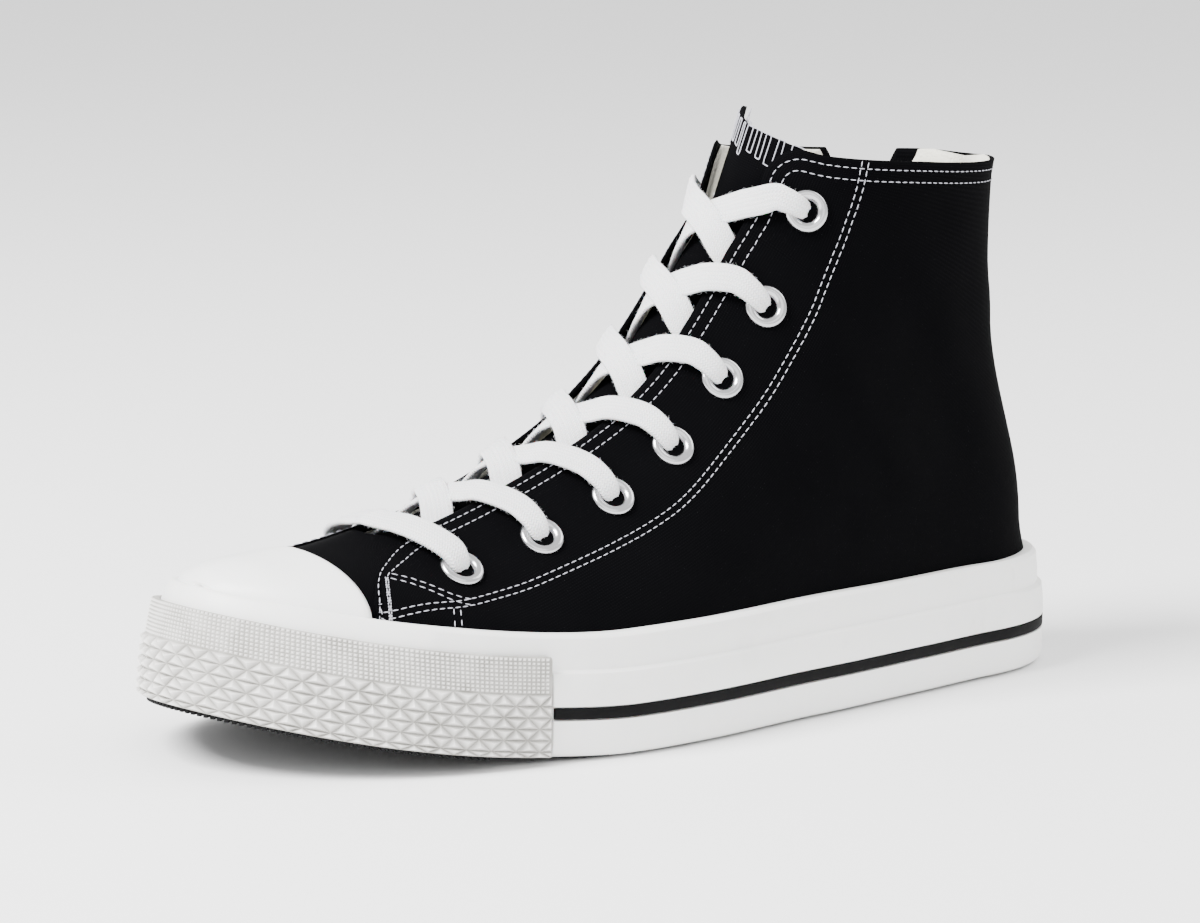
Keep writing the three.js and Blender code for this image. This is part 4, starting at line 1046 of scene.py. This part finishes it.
seams = []
for side in (1, -1):
    grid, normal = quarterSurfaces[side]
    start = int(np.argmax(grid[:, 0, 0] < stitching["edgeStart"]))
    edge = np.concatenate([grid[start:, 0], grid[-1, 1:]])
    edgeNormal = np.concatenate([normal[start:, 0], normal[-1, 1:]])
    for k, gap in enumerate(stitching["edgeRows"]):
        rows = [beside(edge, edgeNormal, way * gap) for way in (side, -side)]
        row = min(rows, key=lambda line: np.linalg.norm(line[40] - grid[start + 40, 4]))
        near = np.array([np.linalg.norm(edge - p, axis=1).min() for p in row])
        row, _ = snap(evenLine(row[near > 0.88 * gap], 6), side)  # without the loops inside a bend
        seams += [stitchLine("edgeSeam%d%d" % (side, k), part) for part in openStretches(row, side)]
    flipped = np.array([1, side, 1])
    for label in ("eyestay", "front", "frontInner", "diagonal", "upright"):
        line = curveThrough(stitching[label]) * flipped
        line, normals = snap(line, side)
        seams.append(stitchLine(label + "Seam%d" % side, line))
        if label in ("eyestay", "diagonal", "upright"):
            second, _ = snap(beside(line, normals, stitching["doubleGap"] * side), side)
            seams.append(stitchLine(label + "Second%d" % side, second))
    tack = stitching["frontInner"][stitching["bartackFrom"]:]
    tack, normals = snap(curveThrough(tack) * flipped, side, 0.2)
    for gap in (-0.28, 0.28):
        row, _ = snap(beside(tack, normals, gap), side, 0.2)
        seams.append(stitchLine("bartack%d" % side, row, stitching["bartackPitch"], 0.7))
for way in (-1, 1):  # one row down each side of the zip slot
    off = zipper["tapeWidth"] / 2 + stitching["slotRow"]
    heights = np.arange(zipper["bottom"] - 2, zipper["sliderHeight"] + 8, 0.8)
    line = np.array([onInnerSide(zipX + way * off, z, 0.1)[0] for z in heights])
    seams.append(stitchLine("slotSeam%d" % way, line))
print("seams made", len(seams))

# Toe cap: one moulded piece over the vamp, its rear edge cut straight across and softened
toeCap = {"rear": 0.869, "outer": -0.9, "inner": 0.6, "edge": 0.8, "rows": 44, "columns": 91}


def makeToeCap():
    rear = toeCap["rear"] * length
    outer, inner = (vampGrid(toeCap[key], 0.0, toeCap["rows"], toeCap["columns"], lambda p: rear)
                    for key in ("outer", "inner"))
    away = np.abs(outer[..., 0] - rear) / toeCap["edge"]
    drop = 0.7 * (1 - roundEnd(away))
    outer = outer + (inner - outer) * (drop / (toeCap["inner"] - toeCap["outer"]))[..., None]
    return shellOf("toeCapRubber", outer, inner, capRubber)


finishPiece(makeToeCap(), "shoe", "cap_rubber", "toe_cap")

# Tongue
tongue = {
    "gap": 4.0, "thick": 2.2, "canvas": 1.1, "half": 23.0, "farShare": -0.8, "start": -20.0, "end": 149.5,
    "slant": (4.5, 5.0), "liningRun": 0.955, "rows": 90, "columns": 33,
}


def tongueEnd(share):
    return tongue["end"] - tongue["slant"][0] * share - tongue["slant"][1] * np.maximum(share, 0) ** 2


def tonguePoint(share, run, depth):  # share -1 to 1 across, run 0 to 1 from the toe end to the top
    distance = tongue["start"] + (tongueEnd(share) - tongue["start"]) * run
    spread = 0.55 + 0.45 * ramp(distance, tongue["start"], 60)
    ripple = 0.35 * np.sin(distance / 9.0 + share * 2.0) * share ** 2
    return facePoint(distance, share * tongue["half"] * spread + 1e-6, depth + ripple)[0]


def makeTongue():
    share = np.linspace(tongue["farShare"], 1, tongue["columns"])[None, :] * np.ones((tongue["rows"], 1))
    run = np.linspace(0, 1, tongue["rows"])[:, None] * np.ones((1, tongue["columns"]))
    outer = tonguePoint(share, run, tongue["gap"])
    middle = tonguePoint(share, run, tongue["gap"] + tongue["canvas"])
    low = tonguePoint(share, run * tongue["liningRun"], tongue["gap"] + tongue["canvas"] + 0.05)
    inner = tonguePoint(share, run * tongue["liningRun"], tongue["gap"] + tongue["thick"])
    finishPiece(shellOf("tongueCanvas", outer, middle, canvas, clothUv(outer)), "shoe", "canvas", "tongue")
    finishPiece(shellOf("tongueLining", low, inner, liningCotton, clothUv(low)), "shoe", "lining_cotton")


makeTongue()


def threadTube(name, points, radius, sides=6):
    along = unit(np.gradient(points, axis=0))
    side = unit(np.cross(along, [0.3, 0.2, 0.93]))
    up = np.cross(side, along)
    turn = 2 * np.pi * np.arange(sides) / sides
    rings = points[:, None] + radius * (side[:, None] * np.cos(turn)[None, :, None]
                                        + up[:, None] * np.sin(turn)[None, :, None])
    thing = faceOut(meshOf(name, rings.reshape(-1, 3), tubeFaces(len(points), sides)))
    thing.data.materials.append(thread)
    return thing


overlock = {"strokes": 11, "band": 0.042, "thread": 0.17, "seed": 5}


def makeOverlock():
    random = np.random.default_rng(overlock["seed"])
    shares = np.linspace(tongue["farShare"] + 0.02, 0.9, overlock["strokes"])
    shares += random.uniform(-0.025, 0.025, overlock["strokes"])
    stops = []
    for share in shares:  # down a stroke, along the foot of the band, and up beside it
        deep = overlock["band"] * random.uniform(0.85, 1.1)
        lean = random.uniform(-0.01, 0.02)
        gap = random.uniform(0.06, 0.11)
        stops += [(share, 1.001), (share + lean, 1 - deep), (share + lean + gap, 1 - deep * 1.04),
                  (share + gap + random.uniform(0.0, 0.02), 1.001)]
    fine = np.linspace(0, len(stops) - 1, len(stops) * 5)
    share, run = (np.interp(fine, range(len(stops)), values) for values in zip(*stops))
    depths = (tongue["gap"] - 0.25, tongue["gap"] + tongue["thick"] + 0.2)
    return [threadTube("overlock", tonguePoint(share, run, depth), overlock["thread"]) for depth in depths]


seams += makeOverlock()
print("tongue made")

# Heel stay: a strip over the back seam, laid on the quarters by casting lines at them
heelStay = {"half": 10.0, "thick": 0.85, "bottom": 29.0, "rows": 70, "columns": 25, "seam": 2.0}


def onHeel(y, z):
    y = y if abs(y) > 0.1 else 0.1  # the two quarters meet on the middle line
    start = Vector(toWorld([-60.0, y, z]))
    hits = [tree.ray_cast(start, Vector((1, 0, 0))) for tree in surfaceOf.values()]
    hits = [hit for hit in hits if hit[0] is not None]
    if not hits:
        near = Vector(toWorld([0.0, y, z]))
        hits = [tree.find_nearest(near) for tree in surfaceOf.values()]
    return np.array(min(hits, key=lambda hit: hit[3])[0]) / mm - origin


def makeHeelStay():
    ys = np.linspace(-heelStay["half"], heelStay["half"], heelStay["columns"])
    top = float(collarZ(0.08 * length)) - 0.3
    zs = np.linspace(heelStay["bottom"], top, heelStay["rows"])
    flatTop = top - 2.5  # above this the strip stands straight up
    base = np.array([[onHeel(y, min(z, flatTop)) + [0, 0, max(0, z - flatTop)] for y in ys] for z in zs])
    base = relax(base, 12)
    normal = gridNormals(base, 30, 12, (-1, 0, 0))
    edge = np.abs(np.linspace(-1, 1, heelStay["columns"])) > 0.96
    outer = base + normal * np.where(edge, 0.5, heelStay["thick"])[None, :, None]
    strip = shellOf("heelStayCanvas", outer, base + normal * 0.02, canvas, clothUv(base))
    finishPiece(strip, "shoe", "canvas", "heel_stay")
    for sign in (1, -1):
        across = 0.5 + 0.5 * sign * (1 - heelStay["seam"] / heelStay["half"])
        column = int(round((heelStay["columns"] - 1) * across))
        line = outer[3:, column] + normal[3:, column] * 0.05
        seams.append(stitchLine("staySeam%d" % sign, curveThrough(line[::4])))


makeHeelStay()
finishPiece(joinPieces("seamThread", seams, thread), "shoe", "canvas")
print("heel stay made")

# Eyelets: rolled rings with a barrel through the canvas
eyelets = {
    "spacing": 22.0,
    "setback": 15.0,
    "shares": [0.95, 1.0, 1.0, 0.87, 0.72, 0.68, 0.62],
    # radius and height, round the section of the ring
    "section": [(5.5, -0.3), (5.5, 0.15), (5.28, 0.6), (4.85, 0.93), (4.35, 1.03), (3.8, 0.92), (3.3, 0.6),
                (2.9, 0.15), (2.65, -0.45), (2.55, -1.2), (2.55, -2.5), (2.95, -2.5), (3.0, -0.5)],
    "sides": 36,
}


def eyeletOut(level):
    return last["throatHalf"] + eyelets["setback"] * eyelets["shares"][level]


def makeEyelets():
    sides, section = eyelets["sides"], eyelets["section"]
    turns = [2 * math.pi * k / sides for k in range(sides)]
    points = [(r * math.cos(turn), r * math.sin(turn), z) for turn in turns for r, z in section]
    count = len(section)
    faces = [(k * count + j, n * count + j, n * count + m, k * count + m)
             for k, n in zip(range(sides), [*range(1, sides), 0])
             for j, m in zip(range(count), [*range(1, count), 0])]
    ring = shapeOnly("eyeletRing", points, faces)
    levels = [(k, side) for side in (1, -1) for k in range(len(eyelets["shares"]))]
    distance = np.array([k * eyelets["spacing"] for k, _ in levels])
    out = np.array([side * eyeletOut(k) for k, side in levels])
    points, normals = facePoint(distance, out)
    piece = setCopies("eyeletRings", ring, points, normals, [(1, 0, 0)] * len(levels), nickel)
    piece.data.shade_smooth()
    names = ["eyelet_%s_%d" % ("outer" if side > 0 else "inner", k + 1) for k, side in levels]
    finishPiece(faceOut(piece), "shoe", "eyelet_metal", *names)


makeEyelets()
print("eyelets made")

# Laces
laces = {"width": 7.9, "sides": 30, "ribs": 1.2, "ribRise": 0.14, "step": 0.75, "fuzz": 11000, "seed": 11}


def laceStrip(name, stops):  # stops: along the ridge, out to the side, depth, width, thickness
    fine = curveThrough(stops, laces["step"])
    points, normals = facePoint(fine[:, 0], fine[:, 1], fine[:, 2])
    along = unit(np.gradient(points, axis=0))
    across = evenLine(unit(np.cross(along, evenLine(normals, 8))), 4)
    up = np.cross(across, along)
    turn = 2 * np.pi * np.arange(laces["sides"]) / laces["sides"]
    flat, tall = (np.sign(wave) * np.abs(wave) ** power
                  for wave, power in ((np.cos(turn), 0.62), (np.sin(turn), 0.75)))
    x = fine[:, 3:4] / 2 * flat[None, :]
    y = fine[:, 4:5] / 2 * tall[None, :] + laces["ribRise"] * np.cos(2 * np.pi * x / laces["ribs"]) * tall
    rings = points[:, None] + across[:, None] * x[..., None] + up[:, None] * y[..., None]
    uv = np.stack([np.broadcast_to(runOf(points)[:, None], x.shape), x], -1) * mm
    faces = tubeFaces(len(points), laces["sides"])
    thing = faceOut(meshOf(name, rings.reshape(-1, 3), faces, uv.reshape(-1, 2)))
    thing.data.materials.append(laceCotton)
    return thing


def strandStops(level, side, high):
    start, end = level * eyelets["spacing"], (level - 1) * eyelets["spacing"]
    out, far = eyeletOut(level), eyeletOut(level - 1)
    half = last["throatHalf"]
    lift = 0.75 if high else -0.75
    stops = [
        (start, out, 3.2, 4.2, 2.2),
        (start, out - 0.2, 0.9, 4.6, 2.5),
        (start + 0.2, out - 1.5, -1.2, 5.6, 2.7),
        (start + 0.4, out - 4.0, -2.3, 6.6, 2.3),
        (start + 0.2, (out + half) / 2 - 1.0, -2.4, 7.2, 1.8),
        (start - 2.6, half - 0.6, -1.7, 7.5, 1.6),
        (start - 5.4, 6.2, -0.7 - lift * 0.8, laces["width"], 1.5),
        (start - 8.4, 0.6, 0.1 - lift, laces["width"], 1.5),
        (start - 11.6, -5.0, 0.75 - lift * 0.6, laces["width"], 1.5),
        (start - 14.6, -9.4, 2.3, laces["width"], 1.5),
        (start - 16.2, -12.6, 2.95, 7.6, 1.4),
        (end + 3.2, -(far + half) / 2 - 0.8, 3.0, 6.8, 1.4),
        (end + 0.4, -far + 0.6, 3.1, 5.0, 1.6),
        (end, -far, 1.6, 4.4, 2.0),
    ]
    return [(a, b * side, c, d, e) for a, b, c, d, e in stops]


def barStops():
    out = eyeletOut(0)
    half = [
        (0.0, out, 3.2, 4.2, 2.2), (0.0, out - 0.2, 0.9, 4.8, 2.5), (-0.2, out - 1.5, -1.3, 6.4, 2.9),
        (-0.6, out - 4.0, -2.5, 7.6, 2.5), (-2.0, out - 9.0, -2.6, 8.2, 1.9), (-3.6, 9.5, -1.9, 8.2, 1.6),
        (-4.6, 4.5, -1.0, laces["width"], 1.5),
    ]
    middle = [(-5.0, 0.0, -0.7, laces["width"], 1.5)]
    return half + middle + [(a, -b, c, d, e) for a, b, c, d, e in half[::-1]]


def laceFuzz(polygons):  # loose cotton fibres standing off the braid
    random = np.random.default_rng(laces["seed"])
    count = laces["fuzz"]
    pick = random.integers(0, len(polygons), count)
    base = np.array([polygons[k].center for k in pick]) / mm
    normal = np.array([polygons[k].normal for k in pick])
    lean = unit(np.cross(normal, random.normal(size=(count, 3))))
    reach = random.uniform(0.3, 1.0, (count, 1))
    middle = base + (normal * 0.4 + lean * 0.35) * reach
    tip = middle + (normal * 0.1 + lean * 0.6) * reach
    side = np.cross(normal, lean) * 0.018
    third = (normal - lean) * 0.013
    loops = [spot + offset for spot in (base, middle) for offset in (side, third, -side - third)]
    points = np.stack(loops + [tip], 1).reshape(-1, 3) - origin
    one = [(0, 1, 4, 3), (1, 2, 5, 4), (2, 0, 3, 5), (3, 4, 6), (4, 5, 6), (5, 3, 6)]
    faces = [tuple(k * 7 + v for v in face) for k in range(count) for face in one]
    return meshOf("laceFuzz", points, faces)


strands = [laceStrip("laceBar", barStops())]
for level in range(1, len(eyelets["shares"])):
    for side, high in ((1, False), (-1, True)):
        strands.append(laceStrip("laceRun", strandStops(level, side, high)))
braid = joinPieces("laceBraid", strands, laceCotton)
braid = joinPieces("laceBraid", [braid, laceFuzz(braid.data.polygons)], laceCotton)
finishPiece(braid, "shoe", "lace_cotton", "lace_bar", *["lace_cross_%d" % k for k in range(1, 7)])
print("laces made")

# Sole: foxing swept round the outline from its section, the bumper's stretch cut back behind the bumper
sole = {
    "stations": 300,
    "bumperJoint": 0.725,
    "bumperTop": 25.0,
    "bumperDepth": 1.3,
    "bumperProud": 0.2,
    "lift": 0.8,
    "stripeBottom": 9.6,
    "stripeWidth": 2.8,
    "stripeDepth": 1.1,
    "step": 21.0,
    "outsoleRim": 4.0,
    "outsoleEdge": 4.2,
    "soft": 0.35,
    "lip": 1.3,
    "teeth": (1.9, 1.0, 2.4, 0.9),
}
jointPlace = math.acos(1 - 2 * sole["bumperJoint"]) / (2 * math.pi)


def foxingSection(x, wave):  # height and inset of each corner, the wave in the upper edge
    top = last["topInset"] + last["toeLean"] * leanShare(x)
    low = sole["stripeBottom"]
    groove = low + sole["stripeWidth"] + 2 * last["clearance"]
    under = sole["outsoleEdge"] + last["clearance"]
    high, step = last["foxingHeight"], sole["step"]
    inside = top + last["foxingWall"]
    rim = sole["outsoleRim"] - 0.3
    wall = [(1.6, 0.5), (4.0, 0.1), (low, 0.0), (low, sole["stripeDepth"]), (groove, sole["stripeDepth"]),
            (groove, 0.0), (17.5, 0.1), (step, 0.55)]
    return [(sole["lift"], 1.5)] + [(z, inset + wallLean(x, z)) for z, inset in wall] + [
        (step + 0.7, 1.8 + wallLean(x, step)),
        (step + 4, 1.5 + (top - 1.7) * 0.45 + wallLean(x, step) * 0.5),
        (high - 1 + wave, top - 0.1), (high + wave, top + 0.8),
        (high + wave, inside + sole["lip"]), (high - 3, inside + sole["lip"]),
        (high - 4, inside), (under, inside), (under, rim), (sole["lift"], rim),
    ]


def sweepBand(name, places, sectionAt, material, closed, soft):
    loops = []
    for t in places:
        x = float(outlinePoint(t)[0])
        section = sectionAt(x, t)
        p = insetPoint(np.full(len(section), t), np.array([float(s[1]) for s in section]))
        z = np.array([float(s[0]) for s in section]) + soleRise(p[:, 0])
        loops.append(np.column_stack([p, z]))
    count = len(loops[0])
    if closed:
        loops.append(loops[0])
    faces = gridFaces(len(loops), count, loop=True) if closed else tubeFaces(len(loops), count)
    band = faceOut(meshOf(name, np.concatenate(loops), faces))
    band.data.materials.append(material)
    band = soften(band, soft, 28, name)
    band.data.shade_smooth()
    return band


def makeFoxing():
    places = list(np.linspace(0, 1, sole["stations"], endpoint=False))
    places += [jointPlace - 2e-4, jointPlace + 2e-4, 1 - jointPlace - 2e-4, 1 - jointPlace + 2e-4]
    places.sort()

    def sectionAt(x, t):
        wave = 0.12 * math.sin(37 * t) + 0.08 * math.sin(91 * t + 1)
        section = foxingSection(x, wave)
        if jointPlace < t < 1 - jointPlace:
            limit = sole["bumperDepth"] + 0.3
            low = sole["bumperTop"] - 0.4
            section = [(z, max(i, limit + float(wallLean(x, z))) if z < low else i) for z, i in section]
        return section
    band = sweepBand("foxingBand", places, sectionAt, foxingRubber, True, sole["soft"])
    finishPiece(band, "shoe", "foxing_rubber", "foxing")


def makeStripe():
    low = sole["stripeBottom"] + 0.3
    high = low + sole["stripeWidth"]
    places = np.linspace(-jointPlace + 0.0005, jointPlace - 0.0005, 260)

    def sectionAt(x, t):
        lean = float(wallLean(x, 11.0))
        return [(z, inset + lean) for z, inset in ((low, 0.02), (high, 0.02), (high, 0.9), (low, 0.9))]
    band = sweepBand("stripeBand", places, sectionAt, stripeRubber, False, 0.25)
    finishPiece(band, "shoe", "stripe_rubber", "pinstripe")


def makeTeeth():  # the cut edge of the tread, in short blocks under the toe
    pitch, wide, deep, tall = sole["teeth"]
    t = np.linspace(jointPlace + 0.02, 1 - jointPlace - 0.02, 4001)
    run = runOf(outlinePoint(t))
    t = np.interp(np.arange(1, int(run[-1] / pitch)) * pitch, run, t)
    place = insetPoint(t, np.full(len(t), deep))
    ahead = insetPoint(t + 1e-4, np.full(len(t), deep)) - insetPoint(t - 1e-4, np.full(len(t), deep))
    points = np.column_stack([place, soleRise(place[:, 0]) + tall / 2])
    block = blockShape("treadTooth", *[(wide / 2, deep / 2, z) for z in (-tall / 2, tall / 2)])
    alongs = np.column_stack([ahead, np.zeros(len(t))])
    teeth = setCopies("treadTeeth", block, points, [(0, 0, 1)] * len(t), alongs, treadRubber)
    finishPiece(teeth, "shoe", "tread_rubber")


makeFoxing()
makeStripe()
makeTeeth()
print("foxing made")

# Bumper: rows of offset pyramids below, small knurled dots above
bumper = {
    "pitch": 6.5,
    "levels": [0.9, 2.25, 5.0, 7.75, 10.5, 13.25, 16.0],
    "rise": 1.3,
    "dotPitch": (1.25, 0.97),
    "dotRows": 9,
    "dotRise": 0.42,
    "dotLow": 16.7,
    "tuck": 0.9,
}


def bumperFrame(t, z, out):
    x = outlinePoint(t)[..., 0]
    p = insetPoint(t, wallLean(x, z) - out)
    return np.concatenate([p, (z + soleRise(p[..., 0]))[..., None]], -1)


def bumperPlaces(pitch):
    t = np.linspace(jointPlace + 0.0007, 1 - jointPlace - 0.0007, 2001)
    run = runOf(outlinePoint(t))
    count = 2 * round(run[-1] / pitch / 2)
    return np.interp(np.linspace(0, run[-1], count + 1), run, t)


def bumperBase():
    proud, deep, top = sole["bumperProud"], sole["bumperDepth"], sole["bumperTop"]

    def sectionAt(x, t):
        heights = [(sole["lift"], deep), (sole["lift"], 0.1 - proud)]
        heights += [(z, -proud) for z in (bumper["levels"][0], 5.0, 9.0, 13.0, 16.0, 20.0, top - 0.8)]
        heights += [(top - 0.2, 0.1), (top, 0.4), (top, deep)]
        return [(z, i + float(wallLean(x, z))) for z, i in heights]
    return sweepBand("bumperBase", bumperPlaces(1.2), sectionAt, bumperRubber, False, 0.3)


def reliefTree():
    tree, given = newTree("pressedRelief", Rise="Float")
    inputs = {0: namedVector(tree, "outward"), "Scale": given["Rise"]}
    push = addNode(tree, "ShaderNodeVectorMath", inputs, operation="SCALE")
    inputs = {"Geometry": given["Geometry"], "Offset": push}
    return endTree(tree, given, addNode(tree, "GeometryNodeSetPosition", inputs))


def bumperPyramids():  # a band of triangles, each raised to a point over its middle
    places = bumperPlaces(bumper["pitch"] / 2)
    levels = bumper["levels"]
    t, z = np.meshgrid(places, levels, indexing="ij")
    corners = [(t[i, j], z[i, j]) for i in range(len(places)) for j in range(len(levels))]
    columns = len(levels)
    faces, peaks = [], []

    def addTriangle(three):
        peaks.append(np.mean([corners[k] for k in three], axis=0))
        peak = len(corners) + len(peaks) - 1
        faces.extend([(three[k], three[(k + 1) % 3], peak) for k in range(3)])
    for j in range(columns - 1):
        for i in range(-1, len(places) - 1):
            up = (i + j) % 2 == 0
            base, tip = (j, j + 1) if up else (j + 1, j)
            ends = (max(i, 0) * columns + base, min(i + 2, len(places) - 1) * columns + base)
            addTriangle((ends[0], ends[1], (i + 1) * columns + tip))
    places, heights = np.array(corners + peaks).T
    flat = bumperFrame(places, heights, sole["bumperProud"])
    out = bumperFrame(places, heights, sole["bumperProud"] + 1) - flat
    lift = np.concatenate([np.full(len(corners), 0.05), np.full(len(peaks), bumper["rise"])])
    strip = meshOf("bumperPyramids", flat, faces, smooth=False)
    setAttribute(strip, "outward", out * lift[:, None])
    # relief height, 0 in the grooves and 1 at the peaks: the bumper rubber paints shade where it is low
    setAttribute(strip, "relief", lift / bumper["rise"])
    strip = runTree(strip, reliefTree(), "bumperPyramids", Rise=mm, Material=bumperRubber)
    work = bmesh.new()
    work.from_mesh(strip.data)
    bmesh.ops.remove_doubles(work, verts=work.verts, dist=1e-6)
    border = [edge for edge in work.edges if edge.is_boundary]
    middle = Vector(toWorld([170.0, 0.0, 15.0]))
    tucked = {}
    for edge in border:  # the band's rim is turned in, in the same order each run
        for vertex in edge.verts:
            if vertex not in tucked:
                inward = (middle - vertex.co) * Vector((1, 1, 0))
                place = vertex.co + inward.normalized() * bumper["tuck"] * mm
                tucked[vertex] = work.verts.new(place, vertex)
        a, b = edge.verts
        work.faces.new((b, tucked[b], tucked[a], a))
    bmesh.ops.recalc_face_normals(work, faces=work.faces)
    work.to_mesh(strip.data)
    work.free()
    return strip


def bumperDots():
    wide, tall = bumper["dotPitch"]
    places = bumperPlaces(wide)[1:-1]
    heights = bumper["dotLow"] + tall * np.arange(bumper["dotRows"])
    t, z = (values.ravel() for values in np.meshgrid(places, heights, indexing="ij"))
    points = bumperFrame(t, z, sole["bumperProud"] - 0.05)
    normals = bumperFrame(t, z, 1.5) - points
    alongs = bumperFrame(t + 1e-4, z, 0.5) - bumperFrame(t - 1e-4, z, 0.5)
    wide, tall = wide * 0.4, tall * 0.4
    corners = [(x, y, 0) for x, y in ((-wide, -tall), (wide, -tall), (wide, tall), (-wide, tall))]
    shape = shapeOnly("bumperDot", corners + [(0, 0, bumper["dotRise"])],
                      [(0, 1, 4), (1, 2, 4), (2, 3, 4), (3, 0, 4), (3, 2, 1, 0)])
    # the dots' feet get painted shade through the relief attribute
    setAttribute(shape, "relief", [0.2] * 4 + [1.0])
    return setCopies("bumperDots", shape, points, normals, alongs, bumperRubber)


bumperPiece = joinPieces("bumperStrip", [bumperBase(), bumperPyramids(), bumperDots()], bumperRubber)
finishPiece(bumperPiece, "shoe", "bumper_rubber", "toe_bumper")
print("bumper made")


def softenedCopy(node, name, material, width, body, slot):  # the CAD shape with its edges eased
    thing = faceOut(addObject(name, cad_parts[node].data.copy()))
    thing.data.materials.clear()
    thing.data.materials.append(material)
    finishPiece(soften(thing, width, 40, name), body, slot, node)


softenedCopy("zip_slider", "zipSliderBody", darkNickel, 0.25, "shoe", "zip_metal")
softenedCopy("zip_pull", "zipPullTab", darkNickel, 0.25, "pull_tab", "zip_metal")
softenedCopy("insole", "insoleBoard", liningCotton, 0.4, "shoe", "lining_cotton")
softenedCopy("outsole", "outsoleTread", treadRubber, 0.3, "shoe", "tread_rubber")


def makeZip():
    half, top = zipper["tapeWidth"] / 2 + 0.9, zipper["sliderHeight"] + 9
    xs = np.linspace(zipX - half, zipX + half, 9)
    zs = np.linspace(zipper["bottom"] - 1, top, 60)
    outer, inner = (np.array([[onInnerSide(x, z, lift)[0] for x in xs] for z in zs])
                    for lift in (-0.55, -1.4))
    tape = shellOf("zipTapeCloth", relax(outer, 4), relax(inner, 4), tapeCloth, clothUv(outer))
    finishPiece(tape, "shoe", "zip_tape", "zip_tape")
    width, pitch = zipper["toothWidth"] / 2, zipper["toothPitch"]
    tooth = blockShape("zipTooth", (width, 0.42, 0), (width * 0.8, 0.3, 0.85))
    heights = np.arange(zipper["bottom"] + 2, zipper["sliderHeight"] - 5, pitch)
    spots = [onInnerSide(zipX + 0.25 * (-1) ** k, z, -0.6) for k, z in enumerate(heights)]
    points, normals = zip(*spots)
    teeth = setCopies("zipTeeth", tooth, points, normals, [(1, 0, 0)] * len(spots), darkNickel)
    finishPiece(teeth, "shoe", "zip_metal")


makeZip()
print("zip made")

# Floor and light
stage = {"floor": "#f6f6f6", "world": 1.5, "key": 95.0, "fill": 8.0, "rim": 12.0}


def makeStage():
    bpy.ops.mesh.primitive_plane_add(size=6.0, location=(0, 0, 0))
    floor = bpy.context.object
    floor.name = "floor"
    floor.data.materials.append(newMaterial("palePaper", stage["floor"], 0.9, Specular_IOR_Level=0.1)[0])
    world = bpy.data.worlds.new("softWhite")
    bpy.context.scene.world = world
    world.use_nodes = True
    background = world.node_tree.nodes["Background"]
    background.inputs["Color"].default_value = (1, 1, 1, 1)
    background.inputs["Strength"].default_value = stage["world"]
    lamps = [("key", (1.15, -0.15, 1.35), 0.8, stage["key"]), ("fill", (0.7, 1.3, 0.9), 1.4, stage["fill"]),
             ("rim", (-1.2, 0.5, 1.2), 1.0, stage["rim"])]
    for name, place, size, power in lamps:
        data = bpy.data.lights.new(name, "AREA")
        data.energy = power
        data.size = size
        lamp = addObject(name, data)
        lamp.location = place
        aim = Vector((0, 0, 0.06)) - Vector(place)
        lamp.rotation_euler = aim.to_track_quat("-Z", "Y").to_euler()


makeStage()
